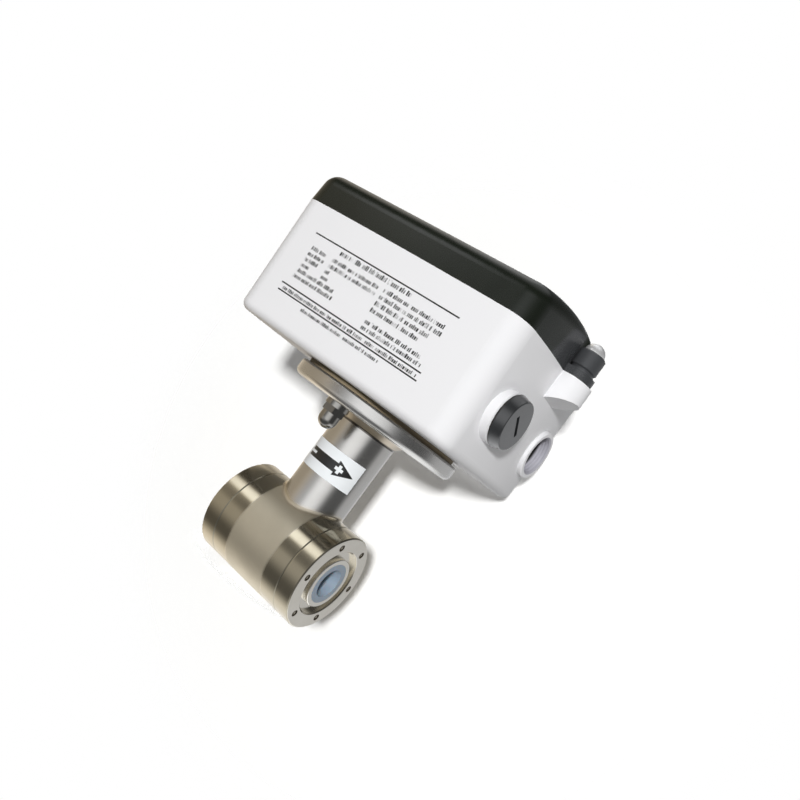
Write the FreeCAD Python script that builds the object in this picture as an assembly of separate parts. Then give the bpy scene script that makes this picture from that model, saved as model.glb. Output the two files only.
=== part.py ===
import FreeCAD, Part

import math
import os

# Electromagnetic flow meter: a wafer sensor with a welded neck, and a terminal box on top of it.
# Millimetres. Origin on the flow axis at the middle of the sensor, +X along the flow, +Z up the neck.

# Fits between pieces
RUNNING_FIT = 0.05
COVER_FIT = 0.3
SEAT_FIT = 0.1

# Sensor
BODY_DIAMETER = 48.3
BODY_LENGTH = 62.0
BODY_WALL = 3.0
RING_WIDTH = 9.0
RING_SPIGOT = 4.0
RING_EDGE = 0.6
JOINT_GROOVE = 0.4
RECESS_DIAMETER = 33.0
RECESS_DEPTH = 2.5
RING_HOLE_COUNT = 6
RING_HOLE_CIRCLE = 40.0
RING_HOLE_DIAMETER = 3.3
RING_HOLE_DEPTH = 6.5
HUB_DIAMETER = 25.3
HUB_WALL = 2.4
BORE_DIAMETER = 10.0
BORE_MOUTH_DIAMETER = 14.4
BORE_LEAD_IN = 6.0

# Electrodes and field coils inside the sensor
ELECTRODE_DIAMETER = 3.0
BUSH_WALL = 1.1
BUSH_FLANGE = 1.0
NUT_ACROSS = 5.5
NUT_HEIGHT = 2.4
ELECTRODE_TAIL = 1.0
YOKE_WALL = 1.4
YOKE_WIDTH = 16.0
YOKE_GAP = 0.25
POLE_DIAMETER = 8.0
POLE_SHOE_DIAMETER = 16.0
POLE_SHOE_HEIGHT = 1.8
COIL_SPACE = 2.05
LEAD_DIAMETER = 1.2
LEAD_BEND = 2.0
LEAD_CIRCLE = 6.0

# Neck
NECK_DIAMETER = 31.4
NECK_WALL = 2.5
NECK_TOP = 67.5
WELD_FILLET = 1.6
PLATE_WELD = 3.2

# Mounting plate under the box
PLATE_DIAMETER = 88.0
PLATE_THICKNESS = 7.5
PLATE_UNDER_ROUND = 3.0
PLATE_TOP_ROUND = 1.2
PLATE_SPIGOT = 6.0
PLATE_LEAD_HOLE = 19.0
GASKET_THICKNESS = 2.0
GASKET_INSET = 3.0
BOX_SCREW_DIAMETER = 5.0
BOX_SCREW_HEAD = 8.5
BOX_SCREW_HEAD_HEIGHT = 5.0
BOX_SCREW_DEPTH = 5.0
BOX_SCREW_SOCKET = 4.0
BOX_SCREW_SPREAD = 44.0
BOX_HOLE_CLEARANCE = 0.25

# Earth terminal under the plate
EARTH_X = -2.0
EARTH_INSET = 14.0
EARTH_STUD_DIAMETER = 6.0
EARTH_STUD_DEPTH = 4.5
WASHER_DIAMETER = 11.5
WASHER_THICKNESS = 1.2
WASHER_COUNT = 2
CAP_NUT_ACROSS = 10.0
CAP_NUT_HEX = 3.0
CAP_NUT_BARREL = 2.8
CAP_NUT_DOME = 9.0

# Terminal box
BOX_MIDDLE_X = -5.2
BOX_RIM_LENGTH = 139.0
BOX_RIM_DEPTH = 110.0
BOX_END_TAPER = 2.0
BOX_SIDE_TAPER = 8.0
BOX_HEIGHT = 58.3
BOX_WALL = 3.5
BOX_FLOOR = 4.0
BOX_SIDE_BOW = 1200.0
BOX_END_BOW = 250.0
BOX_CORNER = 11.0
BOX_FLOOR_ROUND = 4.0
RIM_LIP = 1.5
RIM_STEP = 3.0

# Cable entries in the +X end
ENTRY_INSET = 27.3
ENTRY_HEIGHT = 25.0
ENTRY_BOSS_DIAMETER = 24.4
ENTRY_BOSS_PROUD = 0.7
ENTRY_BOSS_EDGE = 0.5
ENTRY_WALL = 9.0
ENTRY_THREAD_DIAMETER = 18.5
ENTRY_CHAMFER = 0.7
PLUG_HEAD_DIAMETER = 24.4
PLUG_HEAD_HEIGHT = 4.5
PLUG_HEAD_TAPER = 1.2
PLUG_WALL = 2.0
PLUG_EDGE = 0.5
PLUG_SLOT_LENGTH = 11.0
PLUG_SLOT_WIDTH = 1.8
PLUG_SLOT_DEPTH = 1.2
PLUG_SLOT_ANGLE = -35.0
PLUG_SEAL_THICKNESS = 1.0
PLUG_SEAL_DIAMETER = 23.0

# Cover
COVER_HEIGHT = 22.0
COVER_WALL = 2.8
COVER_DRAFT = 2.0
COVER_CROWN = 220.0
COVER_TOP_ROUND = 7.5
COVER_TONGUE = 1.4
COVER_TONGUE_DEPTH = 1.5

# Captive cover screws, one at each end of the box
SCREW_OUTSET = 4.2
SCREW_BOSS_DIAMETER = 17.0
SCREW_BOSS_HEIGHT = 15.6
SCREW_BOSS_SLOPE = 22.0
EAR_DIAMETER = 14.6
EAR_THICKNESS = 4.0
COVER_SCREW_DIAMETER = 6.0
COVER_SCREW_DEPTH = 9.0
WAIST_DIAMETER = 10.8
WAIST_HEIGHT = 1.6
GRIP_DIAMETER = 12.6
GRIP_HEIGHT = 8.4
GRIP_EDGE = 0.6
WELL_GAP = 1.2
DOME_DIAMETER = 9.8
DOME_HEIGHT = 4.8

# Connection board inside the box
BOARD_LENGTH = 96.0
BOARD_WIDTH = 62.0
BOARD_THICKNESS = 1.6
BOARD_MIDDLE_X = -10.0
BOARD_CORNER = 4.0
POST_HEIGHT = 9.0
POST_DIAMETER = 8.0
POST_INSET = 5.0
BOARD_SCREW_DIAMETER = 3.0
BOARD_SCREW_HEAD = 6.0
BOARD_SCREW_HEAD_HEIGHT = 2.2
BOARD_SCREW_EDGE = 0.6
BOARD_SCREW_DEPTH = 6.0
TERMINAL_PITCH = 6.0
TERMINAL_DEPTH = 11.0
TERMINAL_HEIGHT = 12.0
TERMINAL_EDGE = 1.0
TERMINAL_WIRE_HOLE = 3.4
TERMINAL_SCREW_DIAMETER = 3.6
TERMINAL_SCREW_HEIGHT = 3.0
COIL_POLES = 4
SIGNAL_POLES = 5
TERMINAL_X = 20.0
SIGNAL_Y = -15.0
COIL_Y = 17.0
SOCKET_LENGTH = 30.0
SOCKET_WIDTH = 20.0
SOCKET_HEIGHT = 5.0
SOCKET_WALL = 1.6
SOCKET_X = -36.0
UNIT_HEIGHT = 13.0
UNIT_EDGE = 1.5

V = FreeCAD.Vector

# Levels and places that follow from the sizes above
BODY_RADIUS = BODY_DIAMETER / 2
BODY_INNER = BODY_RADIUS - BODY_WALL
BODY_END = BODY_LENGTH / 2
BARREL_END = BODY_END - RING_WIDTH
HUB_RADIUS = HUB_DIAMETER / 2
LINER_RADIUS = HUB_RADIUS - HUB_WALL
BORE_RADIUS = BORE_DIAMETER / 2
NECK_RADIUS = NECK_DIAMETER / 2
NECK_INNER = NECK_RADIUS - NECK_WALL
YOKE_OUTER = BODY_INNER - YOKE_GAP
YOKE_INNER = YOKE_OUTER - YOKE_WALL
COIL_SEAT = HUB_RADIUS + SEAT_FIT + POLE_SHOE_HEIGHT
COIL_TOP = YOKE_INNER - COIL_SPACE
PLATE_TOP = NECK_TOP + PLATE_THICKNESS
EARTH_Y = EARTH_INSET - PLATE_DIAMETER / 2
BOX_BOTTOM = PLATE_TOP + GASKET_THICKNESS
BOX_INSIDE = BOX_BOTTOM + BOX_FLOOR
BOX_FLOOR_LENGTH = BOX_RIM_LENGTH - BOX_END_TAPER
BOX_FLOOR_DEPTH = BOX_RIM_DEPTH - BOX_SIDE_TAPER
RIM = BOX_BOTTOM + BOX_HEIGHT
LEDGE = RIM - RIM_STEP
COVER_TOP = RIM + COVER_HEIGHT
ENTRY_FACE = BOX_MIDDLE_X + BOX_RIM_LENGTH / 2 + ENTRY_BOSS_PROUD
ENTRY_INNER = ENTRY_FACE - ENTRY_WALL
ENTRY_Y = BOX_RIM_DEPTH / 2 - ENTRY_INSET
ENTRY_Z = BOX_BOTTOM + ENTRY_HEIGHT
EAR_TOP = RIM + EAR_THICKNESS
POST_TOP = BOX_INSIDE + POST_HEIGHT
BOARD_TOP = POST_TOP + BOARD_THICKNESS


def rod_x(diameter, start, end, y=0.0, z=0.0):
    """Cylinder along X."""
    return Part.makeCylinder(diameter / 2, end - start, V(start, y, z), V(1, 0, 0))


def rod_y(diameter, start, end, x=0.0, z=0.0):
    """Cylinder along Y."""
    return Part.makeCylinder(diameter / 2, end - start, V(x, start, z), V(0, 1, 0))


def rod_z(diameter, start, end, x=0.0, y=0.0):
    """Cylinder along Z."""
    return Part.makeCylinder(diameter / 2, end - start, V(x, y, start), V(0, 0, 1))


def block(length, width, start, end, x=0.0, y=0.0):
    """Box centred on x and y, from the level start to the level end."""
    return Part.makeBox(length, width, end - start, V(x - length / 2, y - width / 2, start))


def hexagon(across, start, end, x=0.0, y=0.0):
    """Hexagonal prism along Z."""
    corner = across / math.sqrt(3)
    points = []
    for side in range(7):
        angle = math.radians(60 * side)
        points.append(V(x + corner * math.cos(angle), y + corner * math.sin(angle), start))
    return Part.Face(Part.makePolygon(points)).extrude(V(0, 0, end - start))


def turned(profile, axis):
    """Solid of revolution about an axis through the origin. The profile lists (along, radius) points."""
    points = []
    for along, radius in profile:
        points.append(V(along, 0, radius) if axis.x else V(radius, 0, along))
    points.append(points[0])
    return Part.Face(Part.makePolygon(points)).revolve(V(0, 0, 0), axis, 360)


def moved(shape, x=0.0, y=0.0, z=0.0):
    copy = shape.copy()
    copy.translate(V(x, y, z))
    return copy


def edges_where(shape, test):
    """Edges whose middle point passes the test."""
    found = []
    for edge in shape.Edges:
        middle = edge.valueAt((edge.FirstParameter + edge.LastParameter) / 2)
        if test(middle):
            found.append(edge)
    return found


def near(value, target):
    return abs(value - target) < 1e-4


def bowed_outline(length, depth, inset, level):
    """Closed outline of the box at a level: bowed sides joined by round corners, moved inwards by inset."""
    half_length = length / 2 - inset
    half_depth = depth / 2 - inset
    side = BOX_SIDE_BOW - inset
    end = BOX_END_BOW - inset
    corner = BOX_CORNER - inset
    side_centre = V(0, half_depth - side, level)
    end_centre = V(half_length - end, 0, level)
    apart = side_centre.distanceToPoint(end_centre)
    towards = (side_centre - end_centre).normalize()
    along = (apart**2 + (end - corner)**2 - (side - corner)**2) / (2 * apart)
    across = math.sqrt((end - corner)**2 - along**2)
    middle = end_centre + towards * along + V(-towards.y, towards.x, 0) * across
    side_point = side_centre + (middle - side_centre).normalize() * side
    end_point = end_centre + (middle - end_centre).normalize() * end
    corner_point = middle + (side_point + end_point - middle * 2).normalize() * corner

    def placed(point, mirror_x, mirror_y):
        return V(BOX_MIDDLE_X + mirror_x * point.x, mirror_y * point.y, level)

    side_top = V(0, half_depth, level)
    end_top = V(half_length, 0, level)
    stops = [
        (placed(end_point, 1, -1), placed(end_top, 1, 1), placed(end_point, 1, 1)),
        (placed(end_point, 1, 1), placed(corner_point, 1, 1), placed(side_point, 1, 1)),
        (placed(side_point, 1, 1), placed(side_top, 1, 1), placed(side_point, -1, 1)),
        (placed(side_point, -1, 1), placed(corner_point, -1, 1), placed(end_point, -1, 1)),
        (placed(end_point, -1, 1), placed(end_top, -1, 1), placed(end_point, -1, -1)),
        (placed(end_point, -1, -1), placed(corner_point, -1, -1), placed(side_point, -1, -1)),
        (placed(side_point, -1, -1), placed(side_top, 1, -1), placed(side_point, 1, -1)),
        (placed(side_point, 1, -1), placed(corner_point, 1, -1), placed(end_point, 1, -1)),
    ]
    return Part.Wire([Part.Arc(*three).toShape() for three in stops])


def box_size_at(level):
    """Length and depth of the drafted box at a level between its bottom and its rim."""
    share = (level - BOX_BOTTOM) / BOX_HEIGHT
    length = BOX_FLOOR_LENGTH + (BOX_RIM_LENGTH - BOX_FLOOR_LENGTH) * share
    depth = BOX_FLOOR_DEPTH + (BOX_RIM_DEPTH - BOX_FLOOR_DEPTH) * share
    return length, depth


def box_form(start, end, inset):
    """Drafted block with the outline of the box, between two levels."""
    low = bowed_outline(*box_size_at(start), inset, start)
    high = bowed_outline(*box_size_at(end), inset, end)
    return Part.makeLoft([low, high], True, True)


def rim_form(start, end, inset):
    """Straight block with the outline of the rim."""
    outline = bowed_outline(BOX_RIM_LENGTH, BOX_RIM_DEPTH, inset, start)
    return Part.Face(outline).extrude(V(0, 0, end - start))


def box_screw_places():
    half = BOX_SCREW_SPREAD / 2
    return [(x, y) for x in (-half, half) for y in (-half, half)]


def post_places():
    half_x = BOARD_LENGTH / 2 - POST_INSET
    half_y = BOARD_WIDTH / 2 - POST_INSET
    return [(BOARD_MIDDLE_X + x, y) for x in (-half_x, half_x) for y in (-half_y, half_y)]


def cover_screw_places():
    """Axes of the cover screws, beyond the middle of each end of the box."""
    reach = BOX_RIM_LENGTH / 2 + SCREW_OUTSET
    return [(BOX_MIDDLE_X + reach, 0.0), (BOX_MIDDLE_X - reach, 0.0)]


# Sensor

def sensor_housing():
    barrel = rod_x(BODY_DIAMETER, -BARREL_END, BARREL_END)
    barrel = barrel.makeChamfer(JOINT_GROOVE, edges_where(barrel, lambda p: near(abs(p.x), BARREL_END)))
    outside = barrel.fuse(rod_z(NECK_DIAMETER, 0, NECK_TOP)).removeSplitter()
    saddle = edges_where(outside, lambda p: near(math.hypot(p.x, p.y), NECK_RADIUS) and p.z < NECK_TOP - 1)
    outside = outside.makeFillet(WELD_FILLET, saddle)
    weld = Part.makeCone(NECK_RADIUS, NECK_RADIUS + PLATE_WELD, PLATE_WELD, V(0, 0, NECK_TOP - PLATE_WELD))
    outside = outside.fuse(weld).removeSplitter()
    inside = rod_x(2 * BODY_INNER, -BARREL_END, BARREL_END)
    inside = inside.fuse(rod_z(2 * NECK_INNER, 0, NECK_TOP))
    return outside.cut(inside)


def end_ring():
    """Ring at the outlet end, with its spigot in the barrel, a turned recess and tapped holes."""
    spigot = BODY_INNER - RUNNING_FIT
    hole = HUB_RADIUS + RUNNING_FIT
    recess = RECESS_DIAMETER / 2
    profile = [
        (BARREL_END - RING_SPIGOT, hole),
        (BARREL_END - RING_SPIGOT, spigot),
        (BARREL_END, spigot),
        (BARREL_END, BODY_RADIUS - JOINT_GROOVE),
        (BARREL_END + JOINT_GROOVE, BODY_RADIUS),
        (BODY_END - RING_EDGE, BODY_RADIUS),
        (BODY_END, BODY_RADIUS - RING_EDGE),
        (BODY_END, recess + RING_EDGE),
        (BODY_END - RING_EDGE, recess),
        (BODY_END - RECESS_DEPTH, recess),
        (BODY_END - RECESS_DEPTH, hole),
    ]
    ring = turned(profile, V(1, 0, 0))
    for index in range(RING_HOLE_COUNT):
        angle = 2 * math.pi * index / RING_HOLE_COUNT
        y = RING_HOLE_CIRCLE / 2 * math.cos(angle)
        z = RING_HOLE_CIRCLE / 2 * math.sin(angle)
        ring = ring.cut(rod_x(RING_HOLE_DIAMETER, BODY_END - RING_HOLE_DEPTH, BODY_END, y, z))
    return ring


def end_ring_inlet():
    return end_ring().mirror(V(0, 0, 0), V(1, 0, 0))


def measuring_tube():
    tube = rod_x(HUB_DIAMETER, -BODY_END, BODY_END)
    tube = tube.makeChamfer(RING_EDGE / 2, edges_where(tube, lambda p: near(abs(p.x), BODY_END)))
    tube = tube.cut(rod_x(2 * LINER_RADIUS, -BODY_END, BODY_END))
    return tube.cut(rod_y(bush_diameter() + 2 * RUNNING_FIT, -HUB_RADIUS, HUB_RADIUS))


def liner():
    mouth = BORE_MOUTH_DIAMETER / 2
    lead_in = BODY_END - BORE_LEAD_IN
    outer = LINER_RADIUS - RUNNING_FIT
    profile = [
        (-BODY_END, outer),
        (BODY_END, outer),
        (BODY_END, mouth),
        (lead_in, BORE_RADIUS),
        (-lead_in, BORE_RADIUS),
        (-BODY_END, mouth),
    ]
    tube = turned(profile, V(1, 0, 0))
    return tube.cut(rod_y(ELECTRODE_DIAMETER + 2 * RUNNING_FIT, -LINER_RADIUS, LINER_RADIUS))


# Electrodes

def bush_diameter():
    return ELECTRODE_DIAMETER + 2 * RUNNING_FIT + 2 * BUSH_WALL


def bush_seat():
    """Distance from the flow axis to the underside of the bush flange."""
    return HUB_RADIUS + SEAT_FIT


def electrode():
    """Electrode on the +Y side, its flat tip level with the wall of the bore."""
    end = bush_seat() + BUSH_FLANGE + NUT_HEIGHT + ELECTRODE_TAIL
    return rod_y(ELECTRODE_DIAMETER, BORE_RADIUS, end)


def electrode_front():
    return electrode().mirror(V(0, 0, 0), V(0, 1, 0))


def electrode_bushes():
    inner = LINER_RADIUS + SEAT_FIT
    sleeve = rod_y(bush_diameter(), inner, bush_seat())
    flange = rod_y(bush_diameter() + 2 * BUSH_WALL, bush_seat(), bush_seat() + BUSH_FLANGE)
    hole = rod_y(ELECTRODE_DIAMETER + 2 * RUNNING_FIT, inner, bush_seat() + BUSH_FLANGE)
    back = sleeve.fuse(flange).cut(hole).removeSplitter()
    return Part.makeCompound([back, back.mirror(V(0, 0, 0), V(0, 1, 0))])


def electrode_nuts():
    start = bush_seat() + BUSH_FLANGE
    back = hexagon(NUT_ACROSS, start, start + NUT_HEIGHT)
    back = back.cut(rod_z(ELECTRODE_DIAMETER + 2 * RUNNING_FIT, start, start + NUT_HEIGHT))
    back.rotate(V(0, 0, 0), V(1, 0, 0), -90)
    return Part.makeCompound([back, back.mirror(V(0, 0, 0), V(0, 1, 0))])


# Field coils

def pole_core_upper():
    shoe = rod_z(POLE_SHOE_DIAMETER, 0, COIL_SEAT)
    core = rod_z(POLE_DIAMETER, 0, YOKE_OUTER)
    pole = shoe.fuse(core).cut(rod_x(HUB_DIAMETER + 2 * SEAT_FIT, -BODY_END, BODY_END))
    return pole.common(rod_x(2 * YOKE_INNER - 2 * SEAT_FIT, -BODY_END, BODY_END)).removeSplitter()


def pole_core_lower():
    return pole_core_upper().mirror(V(0, 0, 0), V(0, 0, 1))


def coil_upper():
    ring = rod_z(POLE_SHOE_DIAMETER, COIL_SEAT, COIL_TOP)
    return ring.cut(rod_z(POLE_DIAMETER + 2 * SEAT_FIT, COIL_SEAT, COIL_TOP))


def coil_lower():
    return coil_upper().mirror(V(0, 0, 0), V(0, 0, 1))


def magnet_yoke():
    ring = rod_x(2 * YOKE_OUTER, -YOKE_WIDTH / 2, YOKE_WIDTH / 2)
    return ring.cut(rod_x(2 * YOKE_INNER, -YOKE_WIDTH / 2, YOKE_WIDTH / 2))


def lead(points):
    """Insulated wire along straight runs joined by tangent arcs."""
    edges = []
    start = points[0]
    for before, corner, after in zip(points, points[1:], points[2:]):
        back = (before - corner).normalize()
        ahead = (after - corner).normalize()
        half_turn = back.getAngle(ahead) / 2
        reach = LEAD_BEND / math.tan(half_turn)
        bisector = (back + ahead).normalize()
        middle = corner + bisector * (LEAD_BEND / math.sin(half_turn) - LEAD_BEND)
        edges.append(Part.LineSegment(start, corner + back * reach).toShape())
        edges.append(Part.Arc(corner + back * reach, middle, corner + ahead * reach).toShape())
        start = corner + ahead * reach
    edges.append(Part.LineSegment(start, points[-1]).toShape())
    path = Part.Wire(edges)
    direction = points[1] - points[0]
    section = Part.Wire([Part.makeCircle(LEAD_DIAMETER / 2, points[0], direction)])
    return path.makePipeShell([section], True, False)


def lead_column(index):
    """Place of a lead in the neck, where the four leads stand in a circle round the neck's axis."""
    angle = math.radians(45 + 90 * index)
    reach = LEAD_CIRCLE / 2
    return reach * math.cos(angle), reach * math.sin(angle)


def lead_up_neck(side_x, index):
    """Last points of a lead: out of the barrel at side_x, then up its own column in the neck."""
    x, y = lead_column(index)
    return [V(side_x, y, BODY_INNER - 2 * LEAD_DIAMETER), V(x, y, BODY_RADIUS + NECK_RADIUS), V(x, y, POST_TOP)]


def lead_side():
    """Distance from the neck's axis at which the leads pass the yoke."""
    return YOKE_WIDTH / 2 + 3 * LEAD_DIAMETER


def lead_round():
    """Distance from the flow axis at which the leads pass round the measuring tube."""
    return (HUB_RADIUS + BODY_INNER) / 2


def coil_leads():
    """One lead from each coil on the inlet side, the lower one round the back of the measuring tube."""
    coil_side = POLE_SHOE_DIAMETER / 2 + SEAT_FIT
    level = (COIL_SEAT + COIL_TOP) / 2
    slant = lead_round() * math.sqrt(0.5)
    upper_y = lead_column(2)[1]
    upper = [V(-coil_side, upper_y, level), V(-lead_side(), upper_y, level)]
    lower = [
        V(-coil_side, 0, -level),
        V(-lead_side(), 0, -level),
        V(-lead_side(), slant, -slant),
        V(-lead_side(), lead_round(), 0),
        V(-lead_side(), slant, slant),
    ]
    return Part.makeCompound([
        lead(upper + lead_up_neck(-lead_side(), 2)[1:]),
        lead(lower + lead_up_neck(-lead_side(), 1)),
    ])


def electrode_leads():
    """One lead from each electrode nut on the outlet side."""
    nut_side = NUT_ACROSS / math.sqrt(3) + SEAT_FIT
    nut_middle = bush_seat() + BUSH_FLANGE + NUT_HEIGHT / 2
    slant = lead_round() * math.sqrt(0.5)
    wires = []
    for side, index in ((1, 0), (-1, 3)):
        from_nut = [
            V(nut_side, side * nut_middle, 0),
            V(lead_side(), side * nut_middle, 0),
            V(lead_side(), side * slant, slant),
        ]
        wires.append(lead(from_nut + lead_up_neck(lead_side(), index)))
    return Part.makeCompound(wires)


# Mounting plate

def mounting_plate():
    plate = rod_z(PLATE_DIAMETER, NECK_TOP, PLATE_TOP)
    plate = plate.makeFillet(PLATE_UNDER_ROUND, edges_where(plate, lambda p: near(p.z, NECK_TOP)))
    plate = plate.makeFillet(PLATE_TOP_ROUND, edges_where(plate, lambda p: near(p.z, PLATE_TOP)))
    plate = plate.fuse(rod_z(2 * (NECK_INNER - RUNNING_FIT), NECK_TOP - PLATE_SPIGOT, PLATE_TOP))
    plate = plate.cut(rod_z(PLATE_LEAD_HOLE, NECK_TOP - PLATE_SPIGOT, PLATE_TOP))
    screw_hole = BOX_SCREW_DIAMETER + 2 * RUNNING_FIT
    for x, y in box_screw_places():
        plate = plate.cut(rod_z(screw_hole, PLATE_TOP - BOX_SCREW_DEPTH, PLATE_TOP, x, y))
    stud_hole = EARTH_STUD_DIAMETER + 2 * RUNNING_FIT
    plate = plate.cut(rod_z(stud_hole, NECK_TOP, NECK_TOP + EARTH_STUD_DEPTH, EARTH_X, EARTH_Y))
    return plate.removeSplitter()


def plate_gasket():
    ring = rod_z(PLATE_DIAMETER - 2 * GASKET_INSET, PLATE_TOP, BOX_BOTTOM)
    ring = ring.cut(rod_z(PLATE_LEAD_HOLE, PLATE_TOP, BOX_BOTTOM))
    for x, y in box_screw_places():
        ring = ring.cut(rod_z(BOX_SCREW_DIAMETER + 2 * BOX_HOLE_CLEARANCE, PLATE_TOP, BOX_BOTTOM, x, y))
    return ring


def box_screws():
    screws = []
    for x, y in box_screw_places():
        shank = rod_z(BOX_SCREW_DIAMETER, PLATE_TOP - BOX_SCREW_DEPTH, BOX_INSIDE, x, y)
        head_top = BOX_INSIDE + BOX_SCREW_HEAD_HEIGHT
        head = rod_z(BOX_SCREW_HEAD, BOX_INSIDE, head_top, x, y)
        socket = hexagon(BOX_SCREW_SOCKET, head_top - BOX_SCREW_HEAD_HEIGHT / 2, head_top, x, y)
        screws.append(shank.fuse(head).cut(socket).removeSplitter())
    return Part.makeCompound(screws)


# Earth terminal

def washer_bottom():
    return NECK_TOP - WASHER_COUNT * WASHER_THICKNESS


def earth_stud():
    end = washer_bottom() - CAP_NUT_HEX - CAP_NUT_BARREL
    return rod_z(EARTH_STUD_DIAMETER, end, NECK_TOP + EARTH_STUD_DEPTH, EARTH_X, EARTH_Y)


def earth_washers():
    washers = []
    for index in range(WASHER_COUNT):
        top = NECK_TOP - index * WASHER_THICKNESS
        disc = rod_z(WASHER_DIAMETER, top - WASHER_THICKNESS, top, EARTH_X, EARTH_Y)
        hole = rod_z(EARTH_STUD_DIAMETER + 2 * RUNNING_FIT, top - WASHER_THICKNESS, top, EARTH_X, EARTH_Y)
        washers.append(disc.cut(hole))
    return Part.makeCompound(washers)


def earth_cap_nut():
    top = washer_bottom()
    hex_end = top - CAP_NUT_HEX
    barrel_end = hex_end - CAP_NUT_BARREL
    nut = hexagon(CAP_NUT_ACROSS, hex_end, top, EARTH_X, EARTH_Y)
    nut = nut.fuse(rod_z(CAP_NUT_DOME, barrel_end, hex_end, EARTH_X, EARTH_Y))
    nut = nut.fuse(Part.makeSphere(CAP_NUT_DOME / 2, V(EARTH_X, EARTH_Y, barrel_end)))
    hole = rod_z(EARTH_STUD_DIAMETER + 2 * RUNNING_FIT, barrel_end, top, EARTH_X, EARTH_Y)
    return nut.cut(hole).removeSplitter()


# Terminal box

def entry_places():
    """Distances of the front and the back cable entry from the middle plane."""
    return [-ENTRY_Y, ENTRY_Y]


def entry_boss(y):
    """Round boss that stands out of the end wall and ends inside in a flat seat for a locknut."""
    boss = rod_x(ENTRY_BOSS_DIAMETER, ENTRY_INNER, ENTRY_FACE, y, ENTRY_Z)
    return boss.makeChamfer(ENTRY_BOSS_EDGE, edges_where(boss, lambda p: near(p.x, ENTRY_FACE)))


def entry_hole(y):
    """Threaded way through the boss, with a mouth chamfer."""
    thread = ENTRY_THREAD_DIAMETER / 2
    hole = rod_x(ENTRY_THREAD_DIAMETER, ENTRY_INNER, ENTRY_FACE, y, ENTRY_Z)
    chamfer = Part.makeCone(thread, thread + ENTRY_CHAMFER, ENTRY_CHAMFER,
                            V(ENTRY_FACE - ENTRY_CHAMFER, y, ENTRY_Z), V(1, 0, 0))
    return hole.fuse(chamfer)


def screw_boss(x):
    """Boss for a cover screw, its underside sloping up and away from the end wall."""
    low = RIM - SCREW_BOSS_HEIGHT
    boss = rod_z(SCREW_BOSS_DIAMETER, low, RIM, x, 0)
    side = math.copysign(1, x - BOX_MIDDLE_X)
    wall = x - side * SCREW_BOSS_DIAMETER / 2
    run = 2 * SCREW_BOSS_DIAMETER
    rise = run * math.tan(math.radians(SCREW_BOSS_SLOPE))
    corners = [V(wall, -run, low), V(wall + side * run, -run, low), V(wall + side * run, -run, low + rise)]
    wedge = Part.Face(Part.makePolygon(corners + corners[:1])).extrude(V(0, 2 * run, 0))
    return boss.cut(wedge)


def terminal_box():
    outside = box_form(BOX_BOTTOM, RIM, 0)
    outside = outside.makeFillet(BOX_FLOOR_ROUND, edges_where(outside, lambda p: near(p.z, BOX_BOTTOM)))
    box = outside.fuse([screw_boss(x) for x, y in cover_screw_places()])
    box = box.cut(box_form(BOX_INSIDE, RIM, BOX_WALL))
    box = box.cut(rim_form(LEDGE, RIM, RIM_LIP))
    posts = [rod_z(POST_DIAMETER, BOX_INSIDE - BOX_FLOOR / 2, POST_TOP, x, y) for x, y in post_places()]
    box = box.fuse(posts + [entry_boss(y) for y in entry_places()])
    for y in entry_places():
        box = box.cut(entry_hole(y))
    for x, y in cover_screw_places():
        box = box.cut(rod_z(COVER_SCREW_DIAMETER + 2 * RUNNING_FIT, RIM - COVER_SCREW_DEPTH, RIM, x, y))
    post_hole = BOARD_SCREW_DIAMETER + 2 * RUNNING_FIT
    for x, y in post_places():
        box = box.cut(rod_z(post_hole, POST_TOP - BOARD_SCREW_DEPTH, POST_TOP, x, y))
    for x, y in box_screw_places():
        box = box.cut(rod_z(BOX_SCREW_DIAMETER + 2 * BOX_HOLE_CLEARANCE, BOX_BOTTOM, BOX_INSIDE, x, y))
    return box.cut(rod_z(PLATE_LEAD_HOLE, BOX_BOTTOM, BOX_INSIDE)).removeSplitter()


# Blanking plug

def blanking_plug():
    """Hollow slotted plug in the front cable entry."""
    y = -ENTRY_Y
    head_start = ENTRY_FACE + PLUG_SEAL_THICKNESS
    head_end = head_start + PLUG_HEAD_HEIGHT
    thread = ENTRY_THREAD_DIAMETER - 2 * RUNNING_FIT
    head_radius = PLUG_HEAD_DIAMETER / 2
    head = Part.makeCone(head_radius, head_radius - PLUG_HEAD_TAPER, PLUG_HEAD_HEIGHT,
                         V(head_start, y, ENTRY_Z), V(1, 0, 0))
    head = head.makeFillet(PLUG_EDGE, edges_where(head, lambda p: near(p.x, head_end)))
    plug = head.fuse(rod_x(thread, ENTRY_INNER, head_start, y, ENTRY_Z))
    plug = plug.cut(rod_x(thread - 2 * PLUG_WALL, ENTRY_INNER, head_start, y, ENTRY_Z))
    slot = Part.makeBox(PLUG_SLOT_DEPTH, PLUG_SLOT_LENGTH, PLUG_SLOT_WIDTH,
                        V(head_end - PLUG_SLOT_DEPTH, -PLUG_SLOT_LENGTH / 2, -PLUG_SLOT_WIDTH / 2))
    slot.rotate(V(0, 0, 0), V(1, 0, 0), PLUG_SLOT_ANGLE)
    return plug.cut(moved(slot, 0, y, ENTRY_Z)).removeSplitter()


def plug_seal():
    y = -ENTRY_Y
    end = ENTRY_FACE + PLUG_SEAL_THICKNESS
    disc = rod_x(PLUG_SEAL_DIAMETER, ENTRY_FACE, end, y, ENTRY_Z)
    return disc.cut(rod_x(ENTRY_THREAD_DIAMETER + 2 * ENTRY_CHAMFER, ENTRY_FACE, end, y, ENTRY_Z))


# Cover

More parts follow.
